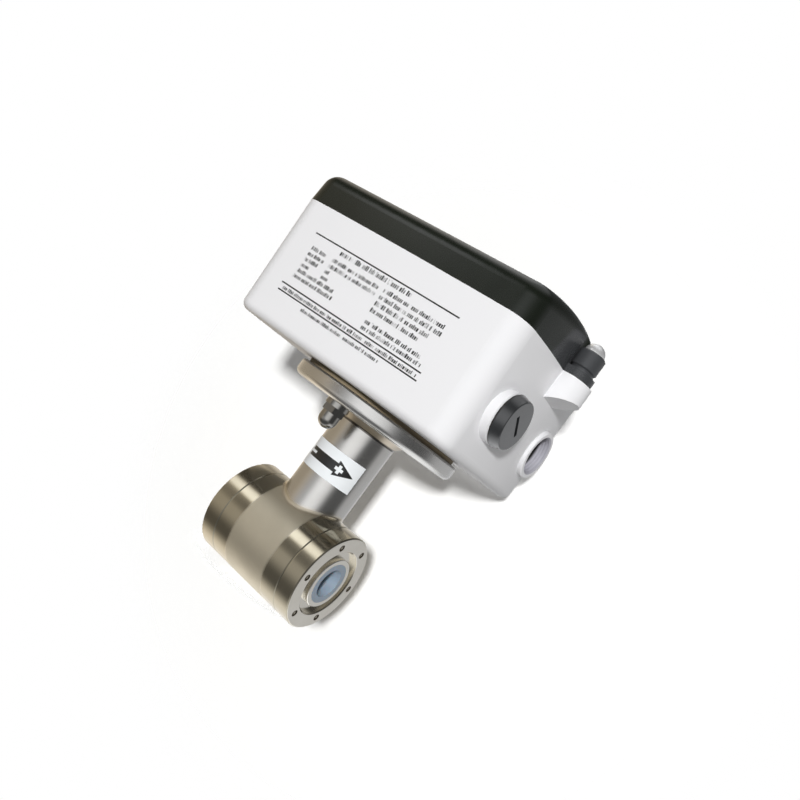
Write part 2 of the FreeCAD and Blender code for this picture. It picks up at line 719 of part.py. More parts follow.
def cover_form(inset):
    """Closed form of the cover, moved inwards by inset: drafted sides, crowned top, round top edge."""
    crown_middle = COVER_TOP - COVER_CROWN
    crown_radius = COVER_CROWN - inset
    side_top = COVER_TOP + COVER_WALL
    draft = 2 * math.tan(math.radians(COVER_DRAFT)) * (side_top - RIM)
    low = bowed_outline(BOX_RIM_LENGTH, BOX_RIM_DEPTH, inset, RIM)
    high = bowed_outline(BOX_RIM_LENGTH - draft, BOX_RIM_DEPTH - draft, inset, side_top)
    form = Part.makeLoft([low, high], True, True)
    reach = BOX_RIM_LENGTH
    crown = rod_x(2 * crown_radius, BOX_MIDDLE_X - reach, BOX_MIDDLE_X + reach, 0, crown_middle)
    crown.rotate(V(0, 0, crown_middle), V(1, 0, 0), 180)
    form = form.common(crown)
    top_edges = edges_where(form, lambda p: near(math.hypot(p.y, p.z - crown_middle), crown_radius))
    return form.makeFillet(COVER_TOP_ROUND - inset, top_edges)


def cover():
    """Crowned cover with an ear for each screw, a well in the end wall round its grip, and a tongue below."""
    well = GRIP_DIAMETER + 2 * WELL_GAP
    shell = cover_form(0)
    hollow = cover_form(COVER_WALL)
    for x, y in cover_screw_places():
        shell = shell.fuse(rod_z(EAR_DIAMETER, RIM, EAR_TOP, x, y))
        shell = shell.fuse(block(abs(x - BOX_MIDDLE_X), EAR_DIAMETER, RIM, EAR_TOP, (x + BOX_MIDDLE_X) / 2, y))
        hollow = hollow.cut(rod_z(well + 2 * COVER_WALL, RIM, COVER_TOP, x, y))
    outer = RIM_LIP + COVER_FIT
    low = RIM - COVER_TONGUE_DEPTH
    tongue = rim_form(low, RIM, outer).cut(rim_form(low, RIM, outer + COVER_TONGUE))
    shell = shell.cut(hollow).fuse(tongue)
    for x, y in cover_screw_places():
        shell = shell.cut(rod_z(well, EAR_TOP, COVER_TOP, x, y))
        shell = shell.cut(rod_z(COVER_SCREW_DIAMETER + 2 * RUNNING_FIT, RIM, EAR_TOP, x, y))
    return shell.removeSplitter()


def cover_gasket():
    """Flat ring on the ledge inside the rim, under the tongue of the cover."""
    top = RIM - COVER_TONGUE_DEPTH
    outer = RIM_LIP + SEAT_FIT
    return rim_form(LEDGE, top, outer).cut(rim_form(LEDGE, top, BOX_WALL))


def cover_screw(x, y):
    """Steel screw with a domed end above its grip."""
    grip_top = EAR_TOP + SEAT_FIT / 2 + WAIST_HEIGHT + GRIP_HEIGHT
    shank = rod_z(COVER_SCREW_DIAMETER, RIM - COVER_SCREW_DEPTH + SEAT_FIT, grip_top, x, y)
    radius = ((DOME_DIAMETER / 2)**2 + DOME_HEIGHT**2) / (2 * DOME_HEIGHT)
    dome = Part.makeSphere(radius, V(x, y, grip_top + DOME_HEIGHT - radius))
    dome = dome.common(rod_z(DOME_DIAMETER, grip_top, grip_top + DOME_HEIGHT, x, y))
    return shank.fuse(dome).removeSplitter()


def cover_grip(x, y):
    """Black grip moulded round the screw, with a narrower waist below it."""
    start = EAR_TOP + SEAT_FIT / 2
    waist_top = start + WAIST_HEIGHT
    top = waist_top + GRIP_HEIGHT
    grip = rod_z(GRIP_DIAMETER, waist_top, top, x, y)
    grip = grip.makeChamfer(GRIP_EDGE, edges_where(grip, lambda p: near(p.z, top) or near(p.z, waist_top)))
    grip = grip.fuse(rod_z(WAIST_DIAMETER, start, waist_top, x, y))
    return grip.cut(rod_z(COVER_SCREW_DIAMETER + 2 * RUNNING_FIT, start, top, x, y)).removeSplitter()


# Connection board

def connection_board():
    board = block(BOARD_LENGTH, BOARD_WIDTH, POST_TOP, BOARD_TOP, BOARD_MIDDLE_X)
    upright = edges_where(board, lambda p: near(p.z, (POST_TOP + BOARD_TOP) / 2))
    board = board.makeFillet(BOARD_CORNER, upright)
    for x, y in post_places():
        board = board.cut(rod_z(BOARD_SCREW_DIAMETER + 2 * SEAT_FIT, POST_TOP, BOARD_TOP, x, y))
    return board


def board_screws():
    screws = []
    for x, y in post_places():
        shank = rod_z(BOARD_SCREW_DIAMETER, POST_TOP - BOARD_SCREW_DEPTH, BOARD_TOP, x, y)
        head_top = BOARD_TOP + BOARD_SCREW_HEAD_HEIGHT
        head = rod_z(BOARD_SCREW_HEAD, BOARD_TOP, head_top, x, y)
        head = head.makeChamfer(BOARD_SCREW_EDGE, edges_where(head, lambda p: near(p.z, head_top)))
        screws.append(shank.fuse(head).removeSplitter())
    return Part.makeCompound(screws)


def pole_places(poles, middle_y):
    """Middles of the poles of a terminal block, in a row along Y."""
    return [middle_y + TERMINAL_PITCH * (index - (poles - 1) / 2) for index in range(poles)]


def terminal_block(poles, middle_y):
    top = BOARD_TOP + TERMINAL_HEIGHT
    body = block(TERMINAL_DEPTH, poles * TERMINAL_PITCH, BOARD_TOP, top, TERMINAL_X, middle_y)
    front = TERMINAL_X + TERMINAL_DEPTH / 2
    body = body.makeChamfer(TERMINAL_EDGE, edges_where(body, lambda p: near(p.z, top) and near(p.x, front)))
    for y in pole_places(poles, middle_y):
        wire_level = BOARD_TOP + TERMINAL_HEIGHT / 3
        body = body.cut(rod_x(TERMINAL_WIRE_HOLE, TERMINAL_X, front, y, wire_level))
        well = rod_z(TERMINAL_SCREW_DIAMETER + 2 * SEAT_FIT, top - TERMINAL_SCREW_HEIGHT, top, TERMINAL_X, y)
        body = body.cut(well)
    return body


def terminal_screws():
    top = BOARD_TOP + TERMINAL_HEIGHT
    low = top - TERMINAL_SCREW_HEIGHT
    screws = []
    for y in pole_places(COIL_POLES, COIL_Y) + pole_places(SIGNAL_POLES, SIGNAL_Y):
        screws.append(rod_z(TERMINAL_SCREW_DIAMETER, low, top - SEAT_FIT, TERMINAL_X, y))
    return Part.makeCompound(screws)


def calibration_socket():
    """Frame on the board that takes the plug-in memory."""
    top = BOARD_TOP + SOCKET_HEIGHT
    floor = BOARD_TOP + SOCKET_WALL
    frame = block(SOCKET_LENGTH, SOCKET_WIDTH, BOARD_TOP, top, SOCKET_X)
    length = SOCKET_LENGTH - 2 * SOCKET_WALL
    width = SOCKET_WIDTH - 2 * SOCKET_WALL
    return frame.cut(block(length, width, floor, top, SOCKET_X))


def calibration_unit():
    start = BOARD_TOP + SOCKET_WALL
    length = SOCKET_LENGTH - 2 * SOCKET_WALL - 2 * SEAT_FIT
    width = SOCKET_WIDTH - 2 * SOCKET_WALL - 2 * SEAT_FIT
    unit = block(length, width, start, start + UNIT_HEIGHT, SOCKET_X)
    return unit.makeFillet(UNIT_EDGE, edges_where(unit, lambda p: near(p.z, start + UNIT_HEIGHT)))


RIGHT, LEFT = cover_screw_places()

NODES = {
    "sensor_housing": sensor_housing(),
    "end_ring_outlet": end_ring(),
    "end_ring_inlet": end_ring_inlet(),
    "measuring_tube": measuring_tube(),
    "liner": liner(),
    "electrode_back": electrode(),
    "electrode_front": electrode_front(),
    "electrode_bushes": electrode_bushes(),
    "electrode_nuts": electrode_nuts(),
    "pole_core_upper": pole_core_upper(),
    "pole_core_lower": pole_core_lower(),
    "coil_upper": coil_upper(),
    "coil_lower": coil_lower(),
    "magnet_yoke": magnet_yoke(),
    "coil_leads": coil_leads(),
    "electrode_leads": electrode_leads(),
    "mounting_plate": mounting_plate(),
    "plate_gasket": plate_gasket(),
    "box_screws": box_screws(),
    "earth_stud": earth_stud(),
    "earth_washers": earth_washers(),
    "earth_cap_nut": earth_cap_nut(),
    "terminal_box": terminal_box(),
    "blanking_plug": blanking_plug(),
    "plug_seal": plug_seal(),
    "cover": cover(),
    "cover_gasket": cover_gasket(),
    "cover_screw_right": cover_screw(*RIGHT),
    "cover_screw_left": cover_screw(*LEFT),
    "cover_grip_right": cover_grip(*RIGHT),
    "cover_grip_left": cover_grip(*LEFT),
    "connection_board": connection_board(),
    "board_screws": board_screws(),
    "coil_terminal_block": terminal_block(COIL_POLES, COIL_Y),
    "signal_terminal_block": terminal_block(SIGNAL_POLES, SIGNAL_Y),
    "terminal_screws": terminal_screws(),
    "calibration_socket": calibration_socket(),
    "calibration_unit": calibration_unit(),
}

os.makedirs("parts", exist_ok=True)
for name, shape in NODES.items():
    shape.exportStep(os.path.join("parts", name + ".step"))
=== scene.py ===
import math
import random

import bmesh
import bpy
from mathutils import Euler, Matrix, Vector


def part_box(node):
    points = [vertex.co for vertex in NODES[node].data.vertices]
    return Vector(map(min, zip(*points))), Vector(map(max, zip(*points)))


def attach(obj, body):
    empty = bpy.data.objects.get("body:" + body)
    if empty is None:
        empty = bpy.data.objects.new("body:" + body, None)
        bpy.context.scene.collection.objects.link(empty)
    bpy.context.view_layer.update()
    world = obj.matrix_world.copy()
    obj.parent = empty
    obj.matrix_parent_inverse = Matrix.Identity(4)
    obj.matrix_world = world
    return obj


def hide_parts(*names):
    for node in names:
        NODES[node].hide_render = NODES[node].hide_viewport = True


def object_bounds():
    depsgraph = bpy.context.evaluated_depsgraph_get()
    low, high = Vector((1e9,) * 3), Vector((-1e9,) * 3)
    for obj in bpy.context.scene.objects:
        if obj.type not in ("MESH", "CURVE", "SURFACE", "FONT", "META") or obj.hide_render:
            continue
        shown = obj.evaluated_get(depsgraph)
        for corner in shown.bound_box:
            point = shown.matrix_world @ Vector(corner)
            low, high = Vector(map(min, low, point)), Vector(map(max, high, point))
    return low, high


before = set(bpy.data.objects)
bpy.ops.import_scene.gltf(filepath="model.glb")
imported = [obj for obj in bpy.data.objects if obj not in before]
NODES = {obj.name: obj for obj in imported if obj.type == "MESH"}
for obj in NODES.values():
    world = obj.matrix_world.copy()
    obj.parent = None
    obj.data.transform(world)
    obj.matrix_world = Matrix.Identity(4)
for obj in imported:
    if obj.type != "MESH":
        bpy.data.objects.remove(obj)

bl_info = {
    "name": "Flow Meter Finish",
    "version": (1, 0, 0),
    "blender": (4, 5, 0),
    "location": "3D View > Sidebar > Flow Meter",
    "description": "Finishes, print, flow label, threads, screw heads and stage for the packed flow meter",
    "category": "Object",
}

CAD_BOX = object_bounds()
MM = 0.001

# Places read from the packed model
BOX_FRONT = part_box("terminal_box")[0].y
PLUG_LOW, PLUG_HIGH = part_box("blanking_plug")
BOARD_LOW, BOARD_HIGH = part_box("connection_board")
RING_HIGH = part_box("end_ring_outlet")[1]
ENTRY_Y = -(PLUG_LOW.y + PLUG_HIGH.y) / 2
ENTRY_Z = (PLUG_LOW.z + PLUG_HIGH.z) / 2
ENTRY_FACE = PLUG_HIGH.x - 5.5 * MM
SENSOR_RADIUS = RING_HIGH.y
SENSOR_END = RING_HIGH.x

# Where one finish gives way to another: each pair is where the change starts and where it is complete
BAND_EDGE = (11.6 * MM, 13.6 * MM)
NECK_EDGE = (SENSOR_RADIUS + 0.6 * MM, SENSOR_RADIUS + 1.6 * MM)
SADDLE_EDGE = (0.6 * MM, 2.6 * MM)
SADDLE_REACH = (16.2 * MM, 17.6 * MM)
COLLAR_EDGE = (15.75 * MM, 15.95 * MM)
COLLAR_LOW = 50 * MM
TOE_LEVEL = 64.2 * MM
TOE_EDGE = (0.30 * MM, 0.80 * MM)
FACE_EDGE = (SENSOR_END - 0.15 * MM, SENSOR_END - 0.05 * MM)
RECESS_EDGE = (16.4 * MM, 16.6 * MM)
BORE_EDGE = (5.05 * MM, 5.30 * MM)
MOUTH_EDGE = (9.9 * MM, 10.2 * MM)
# ENTRY_LIT: where the painted shade at the inner end of the cable entry gives way to the entry colour.
ENTRY_LIT = (PLUG_LOW.x + 2.8 * MM, PLUG_LOW.x + 4.4 * MM)
EAR_EDGE = (67.9 * MM, 68.4 * MM)

# Patterns inside the meter: trace widths and seams are shares of their pitch
COIL_PITCH = 0.35 * MM
LEAD_SPLIT = -1.0 * MM
TRACE_PITCH = 2.54 * MM
TRACE_RUN = 14 * MM
TRACE_SHIFT = 0.37
TRACE_HALF = 0.16
TRACE_CHANCE = 0.45
OUTLINE_INSET = 2.0 * MM
OUTLINE_HALF = 0.15 * MM
TERMINAL_PITCH = 6.0 * MM
SEAM_EDGE = (0.46, 0.48)

# Print on the front of the box, in millimetres: rules, then columns of rows
PRINT_RULES = (
    (-50.9, 34.7, 122.6),
    (-51.4, 34.4, 96.3),
    (-51.0, 34.7, 92.75),
)
PRINT_COLUMNS = (
    {"left": -33.0, "top": 120.4, "pitch": 3.0, "height": 2.3, "ends": (10.0,)},
    {"left": -48.5, "top": 116.0, "pitch": 2.9, "height": 1.8,
     "ends": (-39.0, -38.0, -39.5, -42.5, -24.0, -23.5)},
    {"left": -34.7, "top": 116.0, "pitch": 2.9, "height": 1.8, "ends": (-6.0, -5.6, -31.8, -30.0)},
    {"left": -3.0, "top": 116.4, "pitch": 3.2, "height": 2.0, "ends": (31.0, 32.0, 27.5, 24.5)},
    {"left": -2.0, "top": 101.5, "pitch": 2.8, "height": 1.9, "ends": (30.0, 32.0)},
    {"left": -49.6, "top": 94.4, "pitch": 3.0, "height": 1.7, "ends": (32.0,)},
    {"left": -33.6, "top": 90.5, "pitch": 3.0, "height": 1.6, "ends": (15.0,)},
)

# Marks in a row: a long mark's span, marks in a group, gap in spaces, widths in strokes, tops in heights
MARK_SPAN = 5 * MM
GROUP_MARKS = (3, 9)
GROUP_GAP = 2.2
MARK_WIDTHS = (1.0, 2.2)
MARK_TOPS = (0.28, 0.28, 0.5)

# Faces along and up the label, and how far the arrow's shaft runs into its head
LABEL_SPANS = (48, 8)
ARROW_OVERLAP = 0.1 * MM

# Threads: where each stops inside its hole, its clearance, and its groove as a share of its depth
ENTRY_STOPS = (0.3 * MM, 0.8 * MM)
ENTRY_CLEARANCE = 0.05 * MM
ENTRY_STEPS = 64
RING_STOPS = (6.3 * MM, 0.4 * MM)
RING_CLEARANCE = 0.03 * MM
RING_STEPS = 20
GROOVE_SHARE = 0.15

# Screw heads: sizes in shares of their width, the turn from one slot to the next, and the board screws
HEAD_EDGE = 0.06
SLOT_HALF = 0.09
SLOT_REACH = 0.36
SLOT_DEPTH = 0.22
HEAD_SEGMENTS = 32
SLOT_TURN = 0.7
BOARD_HEAD = 6.0 * MM
BOARD_SHANK = 3.0 * MM
SHANK_SEGMENTS = 20
LEVEL_TOLERANCE = 1e-6
UP = Vector((0.0, 0.0, 1.0))

# Lamps: direction and size of each, all at one distance from the point that they face
LAMPS = {
    "key": ((0.35, -0.93, 0.13), 0.26),
    "side": ((0.88, 0.30, -0.30), 0.80),
    "rear": ((-0.62, 0.76, 0.18), 0.60),
}
LAMP_DISTANCE = 3.0
AIM = Vector((0.0, 0.0, 0.06))

# Floor and backdrop: glow is a share and a strength, fade is where a sheet starts to clear and is gone
SHEET_SIZE = 1.2
SHEET_GLOW = (0.97, 0.985, 1.0)
FLOOR_TINT = (0.90, 0.88, 0.85)
FLOOR_SHADE = Vector((-8 * MM, 12 * MM, 0.0))
FLOOR_GLOW = (0.24, 3.2)
FLOOR_FADE = (0.024, 0.042)
BACKDROP_TINT = (1.0, 1.0, 0.99)
BACKDROP_GAP = 3 * MM
BACKDROP_GLOW = (0.018, 2.8)
BACKDROP_FADE = (0.11, 0.20)

# Tent: where its back, foot, top and warm side start and are complete, on a sphere of radius 1, then
# directions with the cosines at which each starts and is complete. A light has its level first.
TENT_RADIUS = 0.9
TENT_STRENGTH = 2.6
TENT_LEVEL = 0.36
TENT_COOL = (0.97, 0.98, 1.0)
TENT_WARM = (1.0, 0.86, 0.66)
TENT_BACK = (-0.35, 0.30)
TENT_FOOT = (0.25, 0.65)
TENT_TOP = (0.30, 0.75)
TENT_SIDE = (0.2, 0.9)
END_SHADE = ((0.98, -0.10, 0.0), 0.76, 0.95)
FRONT_SHADE = ((-0.45, -0.85, 0.20), 0.94, 0.99)
WINDOW = ((-0.50, -0.65, 0.57), 0.970, 0.996)
WINDOW_LEVEL = 1.5
WALL_LIGHTS = (
    (0.12, (-0.20, -0.98, 0.0), 0.60, 0.95),
    (0.30, (-0.55, 0.83, 0.10), 0.75, 0.95),
)
LAMP_LIGHTS = (
    (0.10, (0.50, 0.86, -0.05), 0.75, 0.97),
    (0.60, (0.0, 0.0, 1.0), 0.86, 0.98),
    (0.58, (0.36, -0.92, 0.10), 0.80, 0.98),
    (0.70, (-0.45, 0.28, 0.85), 0.90, 0.99),
)

# Camera: place in metres, turn in degrees
CAMERA_PLACE = (0.19002, -0.32396, 0.06971)
CAMERA_TURN = (93.0025, -36.3671, 28.0398)
CAMERA_SENSOR = 36.0
CAMERA_NEAR = 0.01


def colour(name, description, default):
    """Colour property."""
    return bpy.props.FloatVectorProperty(name=name, description=description, subtype="COLOR", size=3,
                                         min=0.0, max=1.0, default=default)


def length(name, description, millimetres):
    """Length property, given in millimetres and kept in metres."""
    return bpy.props.FloatProperty(name=name, description=description, unit="LENGTH", precision=5,
                                   default=millimetres * MM)


def angle(name, description, degrees):
    """Angle property, given in degrees."""
    return bpy.props.FloatProperty(name=name, description=description, subtype="ANGLE",
                                   default=math.radians(degrees))


def amount(name, description, default, unit="NONE"):
    """Number property that is never negative."""
    return bpy.props.FloatProperty(name=name, description=description, default=default, min=0.0, unit=unit)


class MeterFinishes(bpy.types.PropertyGroup):
    """Colours of the meter's surfaces"""

    paint: colour("Box paint", "Pale silver paint of the terminal box", (0.83, 0.83, 0.845))
    # Entry: thin lavender paint, made darker as painted shade for the inside of the cable entries.
    entry: colour("Entry", "Thin lavender paint inside the cable entry", (0.40, 0.395, 0.44))
    # Entry depth: painted shade at the unlit inner end of the cable entry.
    depth: colour("Entry depth", "Unlit inner end of the cable entry", (0.02, 0.02, 0.02))
    cover: colour("Cover", "Black-olive plastic of the cover", (0.004, 0.006, 0.003))
    grip: colour("Grip", "Black plastic of the cover screws", (0.045, 0.047, 0.050))
    dome: colour("Dome", "Plated steel of the cover screws", (0.86, 0.86, 0.86))
    plug: colour("Plug", "Dark plastic of the blanking plug", (0.013, 0.014, 0.015))
    gasket: colour("Gasket", "Black rubber", (0.022, 0.021, 0.020))
    fibre: colour("Fibre", "Brown fibre gasket on the mounting plate", (0.21, 0.17, 0.11))
    blasted: colour("Blasted steel", "Matt middle of the sensor", (0.72, 0.67, 0.545))
    turned: colour("Turned steel", "Polished bands and ends of the sensor", (0.42, 0.385, 0.295))
    face: colour("Faced steel", "Turned end faces of the sensor", (0.78, 0.75, 0.68))
    neck: colour("Neck steel", "Neck tube and mounting plate", (0.60, 0.59, 0.57))
    dull: colour("Dull steel", "Duller clouds on the sensor, and its threads", (0.42, 0.38, 0.31))
    stain: colour("Stain", "Duller clouds on the end rings", (0.40, 0.35, 0.27))
    straw: colour("Straw tint", "Heat tint where the neck meets the sensor", (0.66, 0.56, 0.43))
    heat: colour("Heat tint", "Browner tint of the weld under the plate", (0.40, 0.33, 0.23))
    # Weld toe line: partly a dark undercut and partly painted shade in the corner under the plate.
    toe: colour("Weld toe", "Dark line at the toe of that weld", (0.05, 0.04, 0.03))
    nut: colour("Earth terminal", "Dull plated steel of the earth terminal", (0.33, 0.32, 0.30))
    fastener: colour("Fasteners", "Bright steel of nuts, washers and screws", (0.70, 0.69, 0.67))
    liner: colour("Liner", "Pale blue fluoropolymer", (0.30, 0.37, 0.45))
    bore: colour("Bore", "Shaded wall of the flow bore", (0.09, 0.105, 0.13))
    insulator: colour("Insulator", "Moulded bushes", (0.80, 0.77, 0.70))
    iron: colour("Iron", "Magnet iron", (0.20, 0.20, 0.21))
    copper: colour("Copper", "Enamelled coil wire", (0.70, 0.30, 0.13))
    coil_back: colour("Back coil lead", "Coil lead at the back", (0.36, 0.02, 0.015))
    coil_front: colour("Front coil lead", "Coil lead in front", (0.05, 0.025, 0.015))
    signal_back: colour("Back signal lead", "Electrode lead at the back", (0.62, 0.62, 0.60))
    signal_front: colour("Front signal lead", "Electrode lead in front", (0.03, 0.08, 0.30))
    board: colour("Board", "Green coating of the connection board", (0.020, 0.130, 0.055))
    trace: colour("Traces", "Copper traces under the coating", (0.060, 0.260, 0.110))
    outline: colour("Board outline", "Pale outline printed on the board", (0.72, 0.74, 0.70))
    terminal: colour("Terminals", "Grey plastic of the terminal blocks", (0.24, 0.27, 0.26))
    memory: colour("Memory socket", "Dark plastic of the socket", (0.035, 0.038, 0.045))
    brass: colour("Brass", "Clamping screws", (0.70, 0.55, 0.28))
    ink: colour("Ink", "Black print", (0.012, 0.012, 0.012))
    worn_ink: colour("Worn ink", "Print where it has worn", (0.04, 0.04, 0.04))
    film: colour("Label film", "White film of the flow label", (0.82, 0.85, 0.87))


class MeterPrint(bpy.types.PropertyGroup):
    """Sizes of the print on the box"""

    rule: length("Rule", "Thickness of the printed rules", 0.65)
    ink: length("Ink", "How far the print stands on the paint", 0.03)
    stroke: length("Stroke", "Width of the narrowest mark", 0.40)
    space: length("Space", "Space between two marks", 0.29)
    seed: bpy.props.IntProperty(name="Seed", description="Start of the marks' random widths", default=7)


class MeterLabel(bpy.types.PropertyGroup):
    """Sizes of the flow label on the neck"""

    radius: length("Radius", "Radius of the neck tube that carries the label", 15.7)
    low: length("Low edge", "Level of the label's lower edge", 36.2)
    height: length("Height", "Height of the label", 14.4)
    start: angle("Start", "Angle of the label's inlet edge about the neck", 193.0)
    sweep: angle("Sweep", "Angle that the label covers", 146.0)
    thickness: length("Thickness", "Thickness of the film", 0.08)
    shaft: length("Shaft", "Width of the arrow's shaft", 4.7)
    head: length("Head", "Width of the arrow's head", 7.8)
    head_length: length("Head length", "Length of the arrow's head", 9.6)
    tail: length("Tail", "Bare film before the arrow", 9.8)
    margin: length("Margin", "Bare film after the arrow", 2.6)
    plus_place: length("Plus place", "Middle of the plus, from the start of the head", 1.7)
    plus_arm: length("Plus arm", "Length of the arms of the plus", 2.1)
    plus_half: length("Plus bars", "Half the width of the bars of the plus", 0.75)
    minus_length: length("Minus length", "Length of the minus in the shaft", 5.0)
    minus_half: length("Minus bar", "Half the width of the minus", 0.6)


class MeterThread(bpy.types.PropertyGroup):
    """Sizes of the threads"""

    entry_pitch: length("Entry pitch", "Pitch of the cable entry's thread", 1.5)
    entry_radius: length("Entry radius", "Radius of the entry's bore", 9.25)
    entry_depth: length("Entry depth", "Height of the entry's thread", 0.16)
    ring_pitch: length("Ring pitch", "Pitch of the tapped holes", 0.7)
    ring_radius: length("Ring radius", "Radius of the tapped holes", 1.65)
    ring_depth: length("Ring depth", "Height of their thread", 0.18)
    ring_circle: length("Ring circle", "Diameter of the circle of tapped holes", 40.0)
    ring_count: bpy.props.IntProperty(name="Ring count", description="Tapped holes in each end", default=6)


class MeterStage(bpy.types.PropertyGroup):
    """Camera and light"""

    place: bpy.props.FloatVectorProperty(name="Camera", description="Where the camera stands",
                                         subtype="TRANSLATION", unit="LENGTH", size=3, precision=5,
                                         default=CAMERA_PLACE)
    turn: bpy.props.FloatVectorProperty(name="Turn", description="How the camera is turned",
                                        subtype="EULER", size=3,
                                        default=[math.radians(part) for part in CAMERA_TURN])
    lens: amount("Lens", "Focal length in millimetres on a 36 mm sensor", 35.99, "CAMERA")
    key: amount("Key light", "Power of the front light in watts", 84.0, "POWER")
    rear: amount("Rear light", "Power of the light on the back in watts", 60.0, "POWER")
    side: amount("Side light", "Power of the light on the cable entries in watts", 14.0, "POWER")
    fill: amount("Fill", "Strength of the world's light on the object", 0.17)


class Signal:
    """A value in a node tree. Arithmetic on it adds Math nodes."""

    def __init__(self, graph, socket):
        self.graph = graph
        self.socket = socket

    def math(self, operation, *values):
        return self.graph.node("ShaderNodeMath", {"operation": operation}, dict(enumerate(values)))

    def __add__(self, other):
        return self.math("ADD", self, other)

    __radd__ = __add__

    def __sub__(self, other):
        return self.math("SUBTRACT", self, other)

    def __rsub__(self, other):
        return self.math("SUBTRACT", other, self)

    def __mul__(self, other):
        return self.math("MULTIPLY", self, other)

    __rmul__ = __mul__

    def __truediv__(self, other):
        return self.math("DIVIDE", self, other)

    def __rtruediv__(self, other):
        return self.math("DIVIDE", other, self)

    def __pow__(self, other):
        return self.math("POWER", self, other)

    def __lt__(self, other):
        return self.math("LESS_THAN", self, other)

    def __gt__(self, other):
        return self.math("GREATER_THAN", self, other)

    def __mod__(self, other):
        return self.math("FLOORED_MODULO", self, other)

    def __abs__(self):
        return self.math("ABSOLUTE", self)

    def floor(self):
        return self.math("FLOOR", self)

    def sine(self):
        return self.math("SINE", self)

    def larger(self, other):
        return self.math("MAXIMUM", self, other)

    def smaller(self, other):
        return self.math("MINIMUM", self, other)

    def ramp(self, low, high):
        """Smooth step from 0 at low to 1 at high."""
        settings = {"interpolation_type": "SMOOTHSTEP"}
        return self.graph.node("ShaderNodeMapRange", settings, {0: self, 1: low, 2: high, 3: 0.0, 4: 1.0})

    def spread(self, low, high):
        """A signal from 0 to 1, spread between two values."""
        return self * (high - low) + low

    def sway(self, reach):
        """A signal from 0 to 1, as a change of that reach about nothing."""
        return (self - 0.5) * reach


class Graph:
    """A node tree, with one method that adds any node to it."""

    def __init__(self, tree):
        self.tree = tree

    def node(self, kind, settings=None, inputs=None, output=0):
        made = self.tree.nodes.new(kind)
        for key, value in (settings or {}).items():
            setattr(made, key, value)
        self.feed(made, inputs or {})
        return Signal(self, made.outputs[output])

    def feed(self, node, inputs):
        for key, value in inputs.items():
            if isinstance(value, Signal):
                self.tree.links.new(value.socket, node.inputs[key])
            else:
                node.inputs[key].default_value = value

    def mix(self, factor, first, second):
        """Colour between two colours."""
        values = {0: factor, 6: opaque(first), 7: opaque(second)}
        return self.node("ShaderNodeMix", {"data_type": "RGBA"}, values, 2)

    def parts(self, vector):
        """The three coordinates of a vector."""
        made = self.node("ShaderNodeSeparateXYZ", inputs={0: vector}).socket.node
        return [Signal(self, socket) for socket in made.outputs]

    def vector(self, operation, first, second):
        """Number worked out from two vectors."""
        return self.node("ShaderNodeVectorMath", {"operation": operation}, {0: first, 1: second}, "Value")

    def rays(self):
        """1 for rays that show the background: from the camera, from a gloss or through glass."""
        shown = ("Is Camera Ray", "Is Glossy Ray", "Is Transmission Ray")
        camera, glossy, passing = [self.node("ShaderNodeLightPath", output=name) for name in shown]
        return camera.larger(glossy).larger(passing)


class Finish(Graph):
    """A material with one Principled shader. Constants go on its sockets, and changing values feed them."""

    def __init__(self, name, **constants):
        self.material = bpy.data.materials.new(name)
        self.material.use_nodes = True
        super().__init__(self.material.node_tree)
        self.shader = self.tree.nodes["Principled BSDF"]
        self.object = self.node("ShaderNodeTexCoord", output="Object")
        self.set(**constants)

    def set(self, **values):
        """Set or feed shader sockets, named in lower case with _ for a space."""
        named = {}
        for key, value in values.items():
            socket = key.replace("_", " ").title().replace("Ior", "IOR")
            named[socket] = opaque(value) if key == "base_color" else value
        self.feed(self.shader, named)

    def place(self):
        """The three Object coordinates."""
        return self.parts(self.object)

    def noise(self, size, detail=2.0):
        """Cloudy noise with grains of about the given size in metres."""
        scale = (1.0 / size,) * 3
        grain = self.node("ShaderNodeMapping", inputs={"Vector": self.object, "Scale": scale})
        return self.node("ShaderNodeTexNoise", inputs={"Vector": grain, "Scale": 1.0, "Detail": detail})

    def lines(self, along, pitch):
        """Tool marks across a direction, as noise along it."""
        values = {"W": along / pitch, "Scale": 1.0, "Detail": 3.0}
        return self.node("ShaderNodeTexNoise", {"noise_dimensions": "1D"}, values)

    def dress(self, tint, rough, height, distance, strength):
        """Feed the colour, roughness and bump of the surface."""
        values = {"Height": height, "Distance": distance, "Strength": strength}
        self.set(base_color=tint, roughness=rough, normal=self.node("ShaderNodeBump", inputs=values))
        return self

    def give(self, *nodes):
        """Put the material on CAD nodes."""
        for name in nodes:
            materials = NODES[name].data.materials
            materials.clear()
            materials.append(self.material)


def opaque(value):
    """A colour with full alpha, or a signal as it is."""
    return value if isinstance(value, Signal) else (*value, 1.0)


def shaded(tint, share):
    """A share of a colour."""
    return tuple(share * part for part in tint)


def radius(first, second):
    """Distance from an axis."""
    return (first * first + second * second) ** 0.5


def finishes():
    return bpy.context.scene.meter_finishes


def build(name, bm, material):
    """Turn a bmesh into an object with one material."""
    mesh = bpy.data.meshes.new(name)
    bm.to_mesh(mesh)
    bm.free()
    made = bpy.data.objects.new(name, mesh)
    bpy.context.scene.collection.objects.link(made)
    mesh.materials.append(material)
    return made


def piece(name, bm, finish, body):
    """Turn a bmesh into a finished piece that rides on a body."""
    bmesh.ops.recalc_face_normals(bm, faces=bm.faces)
    made = build(name, bm, finish.material)
    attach(made, body)
    return made


def thicken(made, thickness):
    """Give a sheet its thickness, outwards."""
    wall = made.modifiers.new("Thickness", "SOLIDIFY")
    wall.thickness = thickness
    wall.offset = 1.0


# Steel

